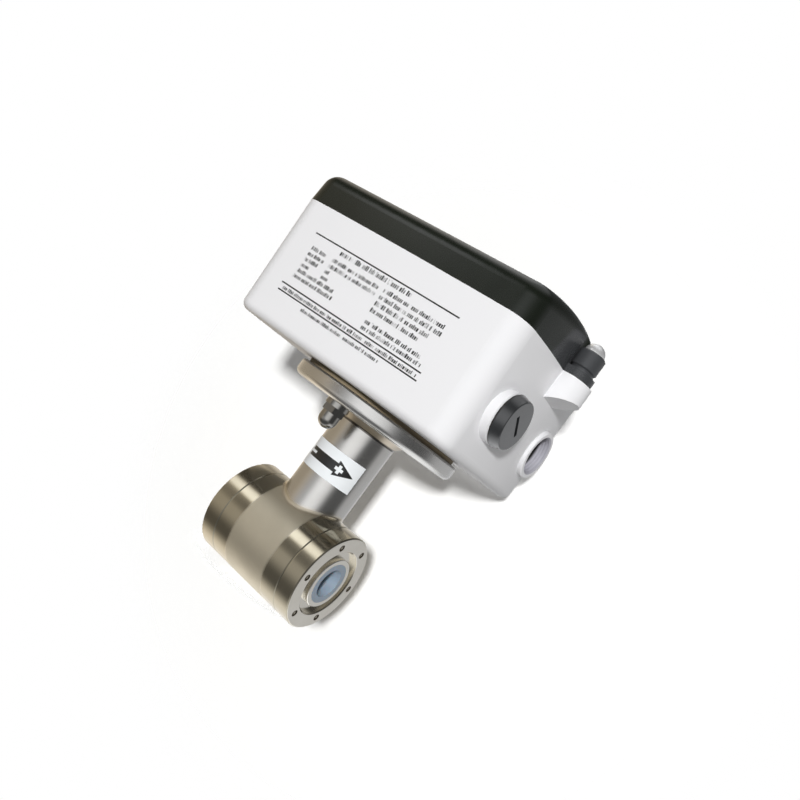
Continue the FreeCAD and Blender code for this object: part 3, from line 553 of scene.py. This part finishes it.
def sensor_steel():
    """Blasted barrel with polished bands, a turned neck, heat tints at the neck's two welds, and a dark line
    at the toe of the weld under the plate, partly undercut and partly painted shade.
    """
    colours = finishes()
    finish = Finish("sensor_steel", metallic=1.0)
    x, y, z = finish.place()
    from_flow = radius(y, z)
    from_neck = radius(x, y)
    neck = from_flow.ramp(*NECK_EDGE)
    band = abs(x).ramp(*BAND_EDGE) * (1 - neck)
    saddle = (1 - abs(from_flow - SENSOR_RADIUS).ramp(*SADDLE_EDGE)) * (z > 0.0)
    saddle = saddle * (1 - from_neck.ramp(*SADDLE_REACH))
    collar = from_neck.ramp(*COLLAR_EDGE) * (z > COLLAR_LOW)
    # Painted shade along the toe of the weld under the plate, on top of a dark undercut line.
    toe = 1 - abs(z - TOE_LEVEL).ramp(*TOE_EDGE)
    cloud = finish.noise(9 * MM, 3.0)
    grain = finish.noise(0.35 * MM)
    rings = finish.lines(x, 0.22 * MM)
    brush = finish.lines(z, 0.30 * MM)
    barrel = finish.mix(band, colours.blasted, colours.turned)
    steel = finish.mix(neck, barrel, colours.neck)
    steel = finish.mix(0.22 * cloud, steel, colours.dull)
    steel = finish.mix(saddle * cloud.spread(0.1, 0.6), steel, colours.straw)
    steel = finish.mix(0.7 * collar, steel, colours.heat)
    steel = finish.mix(0.85 * toe, steel, colours.toe)
    rough = 0.54 - 0.39 * band - 0.30 * neck + 0.14 * collar
    rough = rough + cloud.sway(0.12) + rings.sway(0.12) * band
    marks = grain * (1 - band) * (1 - neck) + 0.35 * rings * band + 0.25 * brush * neck
    return finish.dress(steel, rough, marks, 0.03 * MM, 0.5)


def ring_steel():
    """End rings: turned rim with fine grooves, paler faced end and recess."""
    colours = finishes()
    finish = Finish("ring_steel", metallic=1.0)
    x, y, z = finish.place()
    from_flow = radius(y, z)
    face = abs(x).ramp(*FACE_EDGE)
    recess = 1 - from_flow.ramp(*RECESS_EDGE)
    rim = finish.lines(x, 0.20 * MM)
    circles = finish.lines(from_flow, 0.16 * MM)
    cloud = finish.noise(7 * MM, 3.0)
    steel = finish.mix(face.larger(recess), colours.turned, colours.face)
    steel = finish.mix(0.25 * cloud, steel, colours.stain)
    rough = 0.16 + 0.22 * face + rim.sway(0.14) + circles.sway(0.12)
    return finish.dress(steel, rough, 0.4 * rim * (1 - face) + 0.5 * circles, 0.02 * MM, 0.5)


def plate_steel(name, tint, rough, axis):
    """Steel turned about the neck's axis or the flow axis."""
    finish = Finish(name, metallic=1.0)
    x, y, z = finish.place()
    around, along = (radius(x, y), z) if axis == "neck" else (radius(y, z), x)
    circles = finish.lines(around, 0.25 * MM)
    rim = finish.lines(along, 0.25 * MM)
    cloud = finish.noise(12 * MM, 3.0)
    steel = finish.mix(0.3 * cloud, tint, shaded(tint, 0.72))
    rough = rough + circles.sway(0.12) + cloud.sway(0.10)
    return finish.dress(steel, rough, 0.5 * circles + 0.3 * rim, 0.02 * MM, 0.5)


def bright_steel(name, tint, rough):
    """Rolled or plated metal of small fasteners."""
    finish = Finish(name, metallic=1.0)
    cloud = finish.noise(2.5 * MM, 3.0)
    steel = finish.mix(0.4 * cloud, tint, shaded(tint, 0.7))
    return finish.dress(steel, rough + cloud.sway(0.12), finish.noise(0.4 * MM), 0.01 * MM, 0.4)


# Paint, plastic and rubber

def box_paint():
    """Pale paint with a faint orange peel over the casting; in the mouths of the cable entries it turns to a
    thin lavender paint darkened as painted shade.
    """
    colours = finishes()
    finish = Finish("box_paint", specular_ior_level=0.45)
    peel = finish.noise(1.1 * MM)
    flake = finish.noise(0.25 * MM, 1.0)
    cloud = finish.noise(38 * MM, 3.0)
    x, y, z = finish.place()
    # Painted shade: the mouths of the cable entries take the darker entry colour.
    mouth_paint_and_shade = (1 - radius(abs(y) - ENTRY_Y, z - ENTRY_Z).ramp(*MOUTH_EDGE)) * (x > PLUG_LOW.x)
    painted = finish.mix(0.7 * cloud, colours.paint, shaded(colours.paint, 0.955))
    painted = finish.mix(mouth_paint_and_shade, painted, colours.entry)
    rough = 0.40 + flake.sway(0.16) + cloud.sway(0.08)
    return finish.dress(painted, rough, 0.7 * peel + 0.3 * flake, 0.04 * MM, 0.35)


def moulded(name, tint, rough, grain, depth):
    """Moulded plastic with a spark-eroded grain. Its clouded colour is kept as tone, to be mixed further."""
    finish = Finish(name, specular_ior_level=0.48)
    skin = finish.noise(grain)
    cloud = finish.noise(24 * grain, 3.0)
    lighter = [min(1.0, part + 0.002) for part in shaded(tint, 1.3)]
    finish.tone = finish.mix(0.8 * cloud, tint, lighter)
    return finish.dress(finish.tone, rough + cloud.sway(0.10) + skin.sway(0.12), skin, depth, 0.5)


def cover_plastic():
    """Black-olive plastic of the cover, greyer on the two ears that carry its screws."""
    colours = finishes()
    finish = moulded("cover_plastic", colours.cover, 0.27, 0.40 * MM, 0.012 * MM)
    low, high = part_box("cover")
    ears = abs(finish.place()[0] - (low.x + high.x) / 2).ramp(*EAR_EDGE)
    finish.set(base_color=finish.mix(ears, finish.tone, colours.grip), specular_ior_level=0.42)
    return finish


def liner_plastic():
    """Waxy pale liner that lets some light in, with painted shade darkening it down its bore."""
    colours = finishes()
    finish = Finish("liner_plastic", subsurface_weight=0.2, subsurface_scale=1.5 * MM,
                    specular_ior_level=0.5)
    from_flow = radius(*finish.place()[1:])
    circles = finish.lines(from_flow, 0.3 * MM)
    cloud = finish.noise(5 * MM)
    # Painted shade: the liner darkens to the bore colour down the flow bore.
    bore = 1 - from_flow.ramp(*BORE_EDGE)
    waxy = finish.mix(0.6 * cloud, colours.liner, shaded(colours.liner, 0.8))
    waxy = finish.mix(0.75 * bore, waxy, colours.bore)
    return finish.dress(waxy, 0.32 + circles.sway(0.15), circles, 0.015 * MM, 0.4)


# Inside the meter

def coil_wire():
    """Layers of enamelled wire."""
    colours = finishes()
    finish = Finish("coil_wire", metallic=0.85, coat_weight=0.4, coat_roughness=0.2)
    x, y, z = finish.place()
    layers = (radius(x, y) / COIL_PITCH * math.tau).sine()
    turns = (z / COIL_PITCH * math.tau).sine() * layers
    copper = finish.mix(turns.spread(0.5, 0.9), shaded(colours.copper, 0.45), colours.copper)
    return finish.dress(copper, 0.35 + 0.08 * turns, turns, 0.08 * MM, 0.6)


def lead_wire(name, back_tint, front_tint):
    """Insulation of two leads, told apart by the side they run up."""
    finish = Finish(name, specular_ior_level=0.5)
    cloud = finish.noise(1.2 * MM)
    tint = finish.mix(finish.place()[1] > LEAD_SPLIT, front_tint, back_tint)
    return finish.dress(tint, 0.42 + cloud.sway(0.15), cloud, 0.02 * MM, 0.3)


def board_coating():
    """Green board with traces under the coating and a pale outline printed on it."""
    colours = finishes()
    finish = Finish("board_coating", coat_weight=0.5, coat_roughness=0.15)
    x, y, z = finish.place()
    across = x / TRACE_PITCH
    column = across.floor()
    run = (y / TRACE_RUN + column * TRACE_SHIFT).floor()
    cell = finish.node("ShaderNodeCombineXYZ", inputs={0: column, 1: run})
    chance = finish.node("ShaderNodeTexWhiteNoise", {"noise_dimensions": "2D"}, {"Vector": cell})
    trace = (abs(across % 1.0 - 0.5) < TRACE_HALF) * (chance > TRACE_CHANCE)
    middle = (BOARD_LOW + BOARD_HIGH) / 2
    edge_x = (BOARD_HIGH.x - BOARD_LOW.x) / 2 - abs(x - middle.x)
    edge_y = (BOARD_HIGH.y - BOARD_LOW.y) / 2 - abs(y - middle.y)
    outline = abs(edge_x.smaller(edge_y) - OUTLINE_INSET) < OUTLINE_HALF
    top = z > BOARD_HIGH.z - 0.1 * MM
    green = finish.mix(trace, colours.board, colours.trace)
    printed = finish.mix(outline * top, green, colours.outline)
    return finish.dress(printed, 0.38 - 0.1 * trace, trace, 0.04 * MM, 0.5)


def terminal_plastic():
    """Grey terminal blocks with a dark line between poles."""
    colours = finishes()
    finish = Finish("terminal_plastic", specular_ior_level=0.45)
    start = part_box("coil_terminal_block")[0].y
    seam = abs((finish.place()[1] - start) / TERMINAL_PITCH % 1.0 - 0.5).ramp(*SEAM_EDGE)
    skin = finish.noise(0.3 * MM)
    tint = finish.mix(seam, colours.terminal, shaded(colours.terminal, 0.35))
    return finish.dress(tint, 0.42 + skin.sway(0.15), 0.3 * skin - seam, 0.05 * MM, 0.6)


class METER_OT_steel(bpy.types.Operator):
    """Finish the sensor, the neck, the plate and the fasteners"""

    bl_idname = "meter.steel"
    bl_label = "Steel"

    def execute(self, context):
        colours = finishes()
        sensor_steel().give("sensor_housing")
        ring_steel().give("end_ring_outlet", "end_ring_inlet")
        plate_steel("plate_steel", colours.neck, 0.27, "neck").give("mounting_plate")
        plate_steel("tube_steel", colours.face, 0.24, "flow").give("measuring_tube")
        nut = bright_steel("nut_steel", colours.nut, 0.13)
        nut.give("earth_cap_nut", "earth_washers", "earth_stud")
        inner = bright_steel("inner_steel", colours.fastener, 0.30)
        inner.give("box_screws", "board_screws", "electrode_nuts")
        bright_steel("electrode_alloy", colours.neck, 0.15).give("electrode_back", "electrode_front")
        dome = bright_steel("dome_plating", colours.dome, 0.32)
        dome.set(metallic=0.6)
        dome.give("cover_screw_right", "cover_screw_left")
        return {"FINISHED"}


class METER_OT_housing(bpy.types.Operator):
    """Finish the painted box, the cover, the plug and the seals"""

    bl_idname = "meter.housing"
    bl_label = "Housing"

    def execute(self, context):
        colours = finishes()
        box_paint().give("terminal_box")
        cover_plastic().give("cover")
        grip = moulded("grip_plastic", colours.grip, 0.38, 0.30 * MM, 0.02 * MM)
        grip.give("cover_grip_right", "cover_grip_left")
        plug = moulded("plug_plastic", colours.plug, 0.35, 0.35 * MM, 0.02 * MM)
        plug.set(coat_weight=1.0, coat_roughness=0.25)
        plug.give("blanking_plug")
        moulded("fibre_gasket", colours.fibre, 0.75, 0.25 * MM, 0.03 * MM).give("plate_gasket")
        rubber = moulded("gasket_rubber", colours.gasket, 0.70, 0.30 * MM, 0.02 * MM)
        rubber.give("plug_seal", "cover_gasket")
        return {"FINISHED"}


class METER_OT_inside(bpy.types.Operator):
    """Finish the liner, the magnet, the leads and the connection board"""

    bl_idname = "meter.inside"
    bl_label = "Inside"

    def execute(self, context):
        colours = finishes()
        liner_plastic().give("liner")
        moulded("bush_plastic", colours.insulator, 0.45, 0.3 * MM, 0.01 * MM).give("electrode_bushes")
        iron = bright_steel("magnet_iron", colours.iron, 0.5)
        iron.give("pole_core_upper", "pole_core_lower", "magnet_yoke")
        coil_wire().give("coil_upper", "coil_lower")
        lead_wire("coil_insulation", colours.coil_back, colours.coil_front).give("coil_leads")
        lead_wire("signal_insulation", colours.signal_back, colours.signal_front).give("electrode_leads")
        board_coating().give("connection_board")
        terminal_plastic().give("coil_terminal_block", "signal_terminal_block")
        moulded("socket_plastic", colours.memory, 0.45, 0.3 * MM, 0.02 * MM).give("calibration_socket")
        moulded("memory_plastic", colours.terminal, 0.5, 0.3 * MM, 0.02 * MM).give("calibration_unit")
        bright_steel("brass", colours.brass, 0.25).give("terminal_screws")
        return {"FINISHED"}


class METER_OT_print(bpy.types.Operator):
    """Print rules and rows of plain marks on the front of the box"""

    bl_idname = "meter.print"
    bl_label = "Print"

    def mark(self, bm, left, right, low, high):
        """Flat rectangle on the front, cut into short spans so that it can follow the bowed wall."""
        spans = max(1, round((right - left) / MARK_SPAN))
        size = Matrix.Diagonal((right - left, high - low, 1.0, 1.0))
        upright = Matrix.Rotation(math.radians(90), 4, "X")
        place = Matrix.Translation(((left + right) / 2, 0.0, (low + high) / 2))
        bmesh.ops.create_grid(bm, x_segments=spans, y_segments=1, size=0.5, matrix=place @ upright @ size)

    def row(self, bm, draw, left, right, level, height, sizes):
        """Row of marks of uneven width and height, in groups."""
        reach = left
        group = 0
        while reach < right:
            if group == 0:
                group = draw.randint(*GROUP_MARKS)
                reach += GROUP_GAP * sizes.space
            width = sizes.stroke * draw.uniform(*MARK_WIDTHS)
            top = level + height * draw.choice(MARK_TOPS)
            self.mark(bm, reach, reach + width, level - height / 2, top)
            reach += width + sizes.space
            group -= 1

    def execute(self, context):
        colours = finishes()
        sizes = context.scene.meter_print
        draw = random.Random(sizes.seed)
        bm = bmesh.new()
        for left, right, level in PRINT_RULES:
            self.mark(bm, left * MM, right * MM, level * MM - sizes.rule / 2, level * MM + sizes.rule / 2)
        for column in PRINT_COLUMNS:
            for index, end in enumerate(column["ends"]):
                level = (column["top"] - index * column["pitch"]) * MM
                self.row(bm, draw, column["left"] * MM, end * MM, level, column["height"] * MM, sizes)
        wall = NODES["terminal_box"]
        for vertex in bm.verts:
            start = Vector((vertex.co.x, 2 * BOX_FRONT, vertex.co.z))
            hit, place = wall.ray_cast(start, Vector((0.0, 1.0, 0.0)))[:2]
            if not hit:
                raise RuntimeError("a printed mark misses the box")
            vertex.co = place
        ink = Finish("print_ink", specular_ior_level=0.35)
        wear = ink.noise(0.6 * MM)
        ink.set(base_color=ink.mix(0.6 * wear, colours.ink, colours.worn_ink))
        ink.set(roughness=wear.spread(0.42, 0.6))
        made = piece("box_print", bm, ink, "meter")
        thicken(made, sizes.ink)
        return {"FINISHED"}


class METER_OT_label(bpy.types.Operator):
    """Wrap the flow label round the front of the neck"""

    bl_idname = "meter.label"
    bl_label = "Flow label"

    def film(self, sizes):
        """White film with a black arrow that carries a plus at its head and a minus at its tail."""
        colours = finishes()
        finish = Finish("label_film", specular_ior_level=0.5)
        u, v = finish.parts(finish.node("ShaderNodeUVMap", {"uv_map": "film"}))[:2]
        run = sizes.radius * sizes.sweep
        along = u * run
        across = abs((v - 0.5) * sizes.height)
        tip = run - sizes.margin
        neck = tip - sizes.head_length
        shaft = (across < sizes.shaft / 2) * (along > sizes.tail) * (along < neck + ARROW_OVERLAP)
        head = (across < (tip - along) * (sizes.head / 2 / sizes.head_length)) * (along > neck)
        arm, bar = sizes.plus_arm, sizes.plus_half
        aside = abs(along - (neck + sizes.plus_place))
        plus = ((aside < arm) * (across < bar)).larger((aside < bar) * (across < arm))
        minus = (along < sizes.tail + sizes.minus_length) * (across < sizes.minus_half)
        black = shaft.larger(head) * (1 - plus.larger(minus))
        wear = finish.noise(3 * MM, 3.0)
        white = finish.mix(0.5 * wear, colours.film, shaded(colours.film, 0.9))
        finish.set(base_color=finish.mix(black, white, colours.ink))
        finish.set(roughness=0.34 + wear.sway(0.15))
        return finish

    def execute(self, context):
        sizes = context.scene.meter_label
        spans, rows = LABEL_SPANS
        bm = bmesh.new()
        bm.loops.layers.uv.new("film")
        bmesh.ops.create_grid(bm, x_segments=spans, y_segments=rows, size=0.5, calc_uvs=True)
        reach = sizes.radius + 0.5 * sizes.thickness
        for vertex in bm.verts:
            turn = sizes.start + (vertex.co.x + 0.5) * sizes.sweep
            level = sizes.low + (vertex.co.y + 0.5) * sizes.height
            vertex.co = Vector((reach * math.cos(turn), reach * math.sin(turn), level))
        made = piece("flow_label", bm, self.film(sizes), "meter")
        thicken(made, sizes.thickness)
        return {"FINISHED"}


class METER_OT_threads(bpy.types.Operator):
    """Line the open cable entry and the tapped holes of the end rings with thread ridges"""

    bl_idname = "meter.threads"
    bl_label = "Threads"

    def sleeve(self, bm, start, end, middle, outer, depth, pitch, steps):
        """Ridged sleeve along X, spun from its section."""
        turns = int((end - start) / pitch)
        section = [(start, outer), (start + turns * pitch, outer)]
        for index in range(turns, 0, -1):
            section.append((start + (index - 0.5) * pitch, outer - depth))
            section.append((start + (index - 1) * pitch, outer - GROOVE_SHARE * depth))
        corners = [bm.verts.new((x, middle.y, middle.z + reach)) for x, reach in section]
        edges = [bm.edges.new(pair) for pair in zip(corners, corners[1:] + corners[:1])]
        bmesh.ops.spin(bm, geom=corners + edges, cent=middle, axis=(1.0, 0.0, 0.0), angle=math.tau,
                       steps=steps, use_merge=True)

    def execute(self, context):
        colours = finishes()
        sizes = context.scene.meter_thread
        bm = bmesh.new()
        middle = Vector((0.0, ENTRY_Y, ENTRY_Z))
        start = PLUG_LOW.x + ENTRY_STOPS[0]
        end = ENTRY_FACE - ENTRY_STOPS[1]
        self.sleeve(bm, start, end, middle, sizes.entry_radius - ENTRY_CLEARANCE, sizes.entry_depth,
                    sizes.entry_pitch, ENTRY_STEPS)
        # The thread in the open entry takes the darker entry colour, partly thin paint and partly painted
        # shade.
        inner = moulded("entry_paint", colours.entry, 0.45, 0.30 * MM, 0.01 * MM)
        # Painted shade towards the inner end of the entry, where little light reaches.
        painted_entry_shade = 1 - inner.place()[0].ramp(*ENTRY_LIT)
        inner.set(base_color=inner.mix(painted_entry_shade, inner.tone, colours.depth))
        piece("entry_thread", bm, inner, "meter")
        bm = bmesh.new()
        reach = sizes.ring_circle / 2
        for side in (-1, 1):
            start, end = sorted(side * (SENSOR_END - stop) for stop in RING_STOPS)
            for index in range(sizes.ring_count):
                turn = math.tau * index / sizes.ring_count
                middle = Vector((0.0, reach * math.cos(turn), reach * math.sin(turn)))
                self.sleeve(bm, start, end, middle, sizes.ring_radius - RING_CLEARANCE, sizes.ring_depth,
                            sizes.ring_pitch, RING_STEPS)
        steel = bright_steel("thread_steel", colours.dull, 0.35)
        piece("ring_threads", bm, steel, "meter")
        return {"FINISHED"}


class METER_OT_screws(bpy.types.Operator):
    """Give the terminal and board screws their driver slots"""

    bl_idname = "meter.screws"
    bl_label = "Screw heads"

    def barrel(self, bm, place, across, low, high, segments):
        """Upright cylinder."""
        middle = Matrix.Translation((place.x, place.y, (low + high) / 2))
        made = bmesh.ops.create_cone(bm, cap_ends=True, segments=segments, radius1=across / 2,
                                     radius2=across / 2, depth=high - low, matrix=middle)
        return made["verts"]

    def slotted(self, bm, place, across, low, high, ways):
        """Screw head with a slot for each way, sunk into its top."""
        verts = self.barrel(bm, place, across, low, high, HEAD_SEGMENTS)
        rim = [edge for edge in {edge for vert in verts for edge in vert.link_edges}
               if all(vert.co.z > high - LEVEL_TOLERANCE for vert in edge.verts)]
        bmesh.ops.bevel(bm, geom=rim, offset=HEAD_EDGE * across, offset_type="OFFSET", segments=2,
                        profile=0.5, affect="EDGES", material=-1)
        half = SLOT_HALF * across
        reach = SLOT_REACH * across
        for way in ways:
            for normal, limit in ((way, reach), (way.cross(UP), half)):
                for side in (-1, 1):
                    top = [face for face in bm.faces if self.on_top(face, place, across, high)]
                    edges = {edge for face in top for edge in face.edges}
                    corners = {vert for face in top for vert in face.verts}
                    bmesh.ops.bisect_plane(bm, geom=list(corners) + list(edges) + top,
                                           plane_co=place + normal * side * limit, plane_no=normal)
        sunk = [face for face in bm.faces if self.on_top(face, place, across, high)
                and any(self.in_slot(face, place, way, reach, half) for way in ways)]
        moved = bmesh.ops.extrude_face_region(bm, geom=sunk)["geom"]
        floor = [item for item in moved if isinstance(item, bmesh.types.BMVert)]
        bmesh.ops.translate(bm, verts=floor, vec=(0.0, 0.0, -SLOT_DEPTH * across))

    def on_top(self, face, place, across, high):
        """Whether a face lies on top of the head at a place."""
        middle = face.calc_center_median()
        near = math.hypot(middle.x - place.x, middle.y - place.y) < across / 2
        return near and face.normal.z > 0.9 and abs(middle.z - high) < LEVEL_TOLERANCE

    def in_slot(self, face, place, way, reach, half):
        """Whether a face lies within the slot that runs one way."""
        offset = face.calc_center_median() - place
        return abs(offset.dot(way)) < reach and abs(offset.dot(way.cross(UP))) < half

    def execute(self, context):
        colours = finishes()
        low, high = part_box("terminal_screws")
        places = []
        for block in ("coil_terminal_block", "signal_terminal_block"):
            start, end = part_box(block)
            poles = round((end.y - start.y) / TERMINAL_PITCH)
            places += [start.y + (index + 0.5) * TERMINAL_PITCH for index in range(poles)]
        bm = bmesh.new()
        for index, y in enumerate(places):
            place = Vector(((low.x + high.x) / 2, y, 0.0))
            way = Vector((math.cos(SLOT_TURN * index), math.sin(SLOT_TURN * index), 0.0))
            self.slotted(bm, place, high.x - low.x, low.z, high.z, [way])
        brass = bright_steel("brass_heads", colours.brass, 0.25)
        heads = piece("terminal_screw_heads", bm, brass, "meter")
        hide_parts("terminal_screws")
        low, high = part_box("board_screws")
        ways = [Vector((1.0, 0.0, 0.0)), Vector((0.0, 1.0, 0.0))]
        bm = bmesh.new()
        for x in (low.x + BOARD_HEAD / 2, high.x - BOARD_HEAD / 2):
            for y in (low.y + BOARD_HEAD / 2, high.y - BOARD_HEAD / 2):
                place = Vector((x, y, 0.0))
                self.barrel(bm, place, BOARD_SHANK, low.z, BOARD_HIGH.z, SHANK_SEGMENTS)
                self.slotted(bm, place, BOARD_HEAD, BOARD_HIGH.z, high.z, ways)
        steel = bright_steel("head_steel", colours.fastener, 0.28)
        heads = piece("board_screw_heads", bm, steel, "meter")
        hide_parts("board_screws")
        return {"FINISHED"}


class METER_OT_stage(bpy.types.Operator):
    """Set up the floor, the backdrop, the light and the camera"""

    bl_idname = "meter.stage"
    bl_label = "Stage"

    def hide(self, made, rays):
        """Keep an object out of some kinds of ray."""
        for ray in rays:
            setattr(made, "visible_" + ray, False)

    def prop(self, name, bm, material, hidden):
        """Turn a bmesh into a piece of the stage that some kinds of ray don't see."""
        made = build(name, bm, material)
        self.hide(made, hidden)

    def sheet(self, name, place, facing, material, hidden):
        """Flat sheet of the stage, facing a direction."""
        bm = bmesh.new()
        turn = Vector(facing).to_track_quat("Z", "Y").to_matrix().to_4x4()
        bmesh.ops.create_grid(bm, x_segments=1, y_segments=1, size=SHEET_SIZE / 2,
                              matrix=Matrix.Translation(place) @ turn)
        self.prop(name, bm, material, hidden)

    def pale(self, name, middle, tint, glow, fade, one_sided):
        """Pale sheet that keeps soft shadows and fades out to the white background."""
        finish = Finish(name, base_color=tint, roughness=0.9, specular_ior_level=0.0)
        share, strength = glow
        values = {"Color": opaque(SHEET_GLOW), "Strength": strength}
        light = finish.node("ShaderNodeEmission", inputs=values)
        clear = finish.node("ShaderNodeBsdfTransparent")
        lit = Signal(finish, finish.shader.outputs[0])
        shown = finish.node("ShaderNodeMixShader", inputs={0: finish.rays() * share, 1: lit, 2: light})
        gone = finish.vector("DISTANCE", finish.object, middle).ramp(*fade)
        if one_sided:
            gone = gone.larger(finish.node("ShaderNodeNewGeometry", output="Backfacing"))
        faded = finish.node("ShaderNodeMixShader", inputs={0: gone, 1: shown, 2: clear})
        finish.tree.links.new(faded.socket, finish.tree.nodes["Material Output"].inputs["Surface"])
        return finish.material

    def tent(self):
        """Round tent seen only in gloss: a bright front, a window, dark and warm sides."""
        finish = Finish("tent_light", base_color=(0.0, 0.0, 0.0), roughness=1.0, specular_ior_level=0.0)
        way = finish.node("ShaderNodeVectorMath", {"operation": "NORMALIZE"}, {0: finish.object})
        x, y, z = finish.parts(way)

        def lobe(direction, start, full):
            return finish.vector("DOT_PRODUCT", way, direction).ramp(start, full)

        window = lobe(*WINDOW)
        back = y.ramp(*TENT_BACK)
        foot = (0 - z).ramp(*TENT_FOOT)
        level = TENT_LEVEL * (1 - 0.75 * lobe(*END_SHADE)) * (1 - 0.8 * z.ramp(*TENT_TOP))
        level = level * (1 - 0.65 * foot * (1 - back)) + 0.70 * foot * back
        for share, *place in WALL_LIGHTS:
            level = level + share * lobe(*place)
        level = level * (1 - 0.65 * lobe(*FRONT_SHADE))
        for share, *place in LAMP_LIGHTS:
            level = level + share * lobe(*place)
        level = level + WINDOW_LEVEL * window
        tint = finish.mix((0 - x).ramp(*TENT_SIDE) * (1 - window), TENT_COOL, TENT_WARM)
        glow = finish.mix(level / 2, (0.0, 0.0, 0.0), tint)
        finish.set(emission_color=glow, emission_strength=TENT_STRENGTH)
        bm = bmesh.new()
        bmesh.ops.create_icosphere(bm, subdivisions=4, radius=TENT_RADIUS)
        self.prop("tent", bm, finish.material, ("camera", "diffuse", "transmission", "shadow"))

    def lamp(self, name, direction, size, power):
        """Soft square light that faces the meter. The gloss shows the tent in its place."""
        light = bpy.data.lights.new(name, "AREA")
        light.energy = power
        light.size = size
        made = bpy.data.objects.new(name, light)
        bpy.context.scene.collection.objects.link(made)
        towards = Vector(direction).normalized()
        made.location = AIM + towards * LAMP_DISTANCE
        made.rotation_euler = towards.to_track_quat("Z", "Y").to_euler()
        self.hide(made, ("glossy",))

    def world(self, fill):
        """White background for what shows it, softer light for everything else."""
        world = bpy.data.worlds.new("studio")
        world.use_nodes = True
        bpy.context.scene.world = world
        graph = Graph(world.node_tree)
        white = graph.node("ShaderNodeBackground", inputs={"Color": (1.0, 1.0, 1.0, 1.0), "Strength": 1.0})
        up = graph.parts(graph.node("ShaderNodeTexCoord", output="Generated"))[2]
        shade = graph.mix(up.ramp(-0.6, 0.6), (0.72, 0.69, 0.64), (1.0, 1.0, 1.0))
        soft = graph.node("ShaderNodeBackground", inputs={"Color": shade, "Strength": fill})
        both = graph.node("ShaderNodeMixShader", inputs={0: graph.rays(), 1: soft, 2: white})
        graph.tree.links.new(both.socket, graph.tree.nodes["World Output"].inputs["Surface"])

    def camera(self, scene, sizes):
        """Camera at the photograph's view."""
        view = bpy.data.cameras.new("photo_view")
        view.sensor_width = CAMERA_SENSOR
        view.sensor_fit = "HORIZONTAL"
        view.lens = sizes.lens
        view.clip_start = CAMERA_NEAR
        made = bpy.data.objects.new("photo_view", view)
        scene.collection.objects.link(made)
        made.location = sizes.place
        made.rotation_euler = Euler(sizes.turn, "XYZ")
        scene.camera = made

    def execute(self, context):
        scene = context.scene
        sizes = scene.meter_stage
        scene.view_settings.view_transform = "Standard"
        low, high = CAD_BOX
        self.world(sizes.fill)
        for name, (direction, size) in LAMPS.items():
            self.lamp(name + "_light", direction, size, getattr(sizes, name))
        self.tent()
        ground = Vector((0.0, 0.0, low.z))
        pale = self.pale("floor_pale", ground + FLOOR_SHADE, FLOOR_TINT, FLOOR_GLOW, FLOOR_FADE, False)
        self.sheet("floor", ground, (0.0, 0.0, 1.0), pale, ("glossy",))
        behind = Vector((0.0, high.y + BACKDROP_GAP, AIM.z))
        pale = self.pale("backdrop_pale", behind, BACKDROP_TINT, BACKDROP_GLOW, BACKDROP_FADE, True)
        hidden = ("diffuse", "glossy", "transmission", "shadow")
        self.sheet("backdrop", behind, (0.0, -1.0, 0.0), pale, hidden)
        self.camera(scene, sizes)
        return {"FINISHED"}


class METER_PT_sidebar(bpy.types.Panel):
    """Steps of the flow meter's finish"""

    bl_idname = "METER_PT_sidebar"
    bl_label = "Flow Meter"
    bl_space_type = "VIEW_3D"
    bl_region_type = "UI"
    bl_category = "Flow Meter"

    def draw(self, context):
        for step in STEPS:
            self.layout.operator(step.bl_idname)
        for name, group in GROUPS.items():
            box = self.layout.box()
            box.label(text=group.__doc__)
            for key in group.__annotations__:
                box.prop(getattr(context.scene, name), key)


GROUPS = {
    "meter_finishes": MeterFinishes,
    "meter_print": MeterPrint,
    "meter_label": MeterLabel,
    "meter_thread": MeterThread,
    "meter_stage": MeterStage,
}
STEPS = (
    METER_OT_steel,
    METER_OT_housing,
    METER_OT_inside,
    METER_OT_print,
    METER_OT_label,
    METER_OT_threads,
    METER_OT_screws,
    METER_OT_stage,
)
CLASSES = (*GROUPS.values(), *STEPS, METER_PT_sidebar)


def register():
    for kind in CLASSES:
        bpy.utils.register_class(kind)
    for name, group in GROUPS.items():
        setattr(bpy.types.Scene, name, bpy.props.PointerProperty(type=group))


def unregister():
    for name in GROUPS:
        delattr(bpy.types.Scene, name)
    for kind in reversed(CLASSES):
        bpy.utils.unregister_class(kind)


def main():
    register()
    bpy.ops.meter.steel()
    bpy.ops.meter.housing()
    bpy.ops.meter.inside()
    bpy.ops.meter.print()
    bpy.ops.meter.label()
    bpy.ops.meter.threads()
    bpy.ops.meter.screws()
    bpy.ops.meter.stage()


if __name__ == "__main__":
    main()
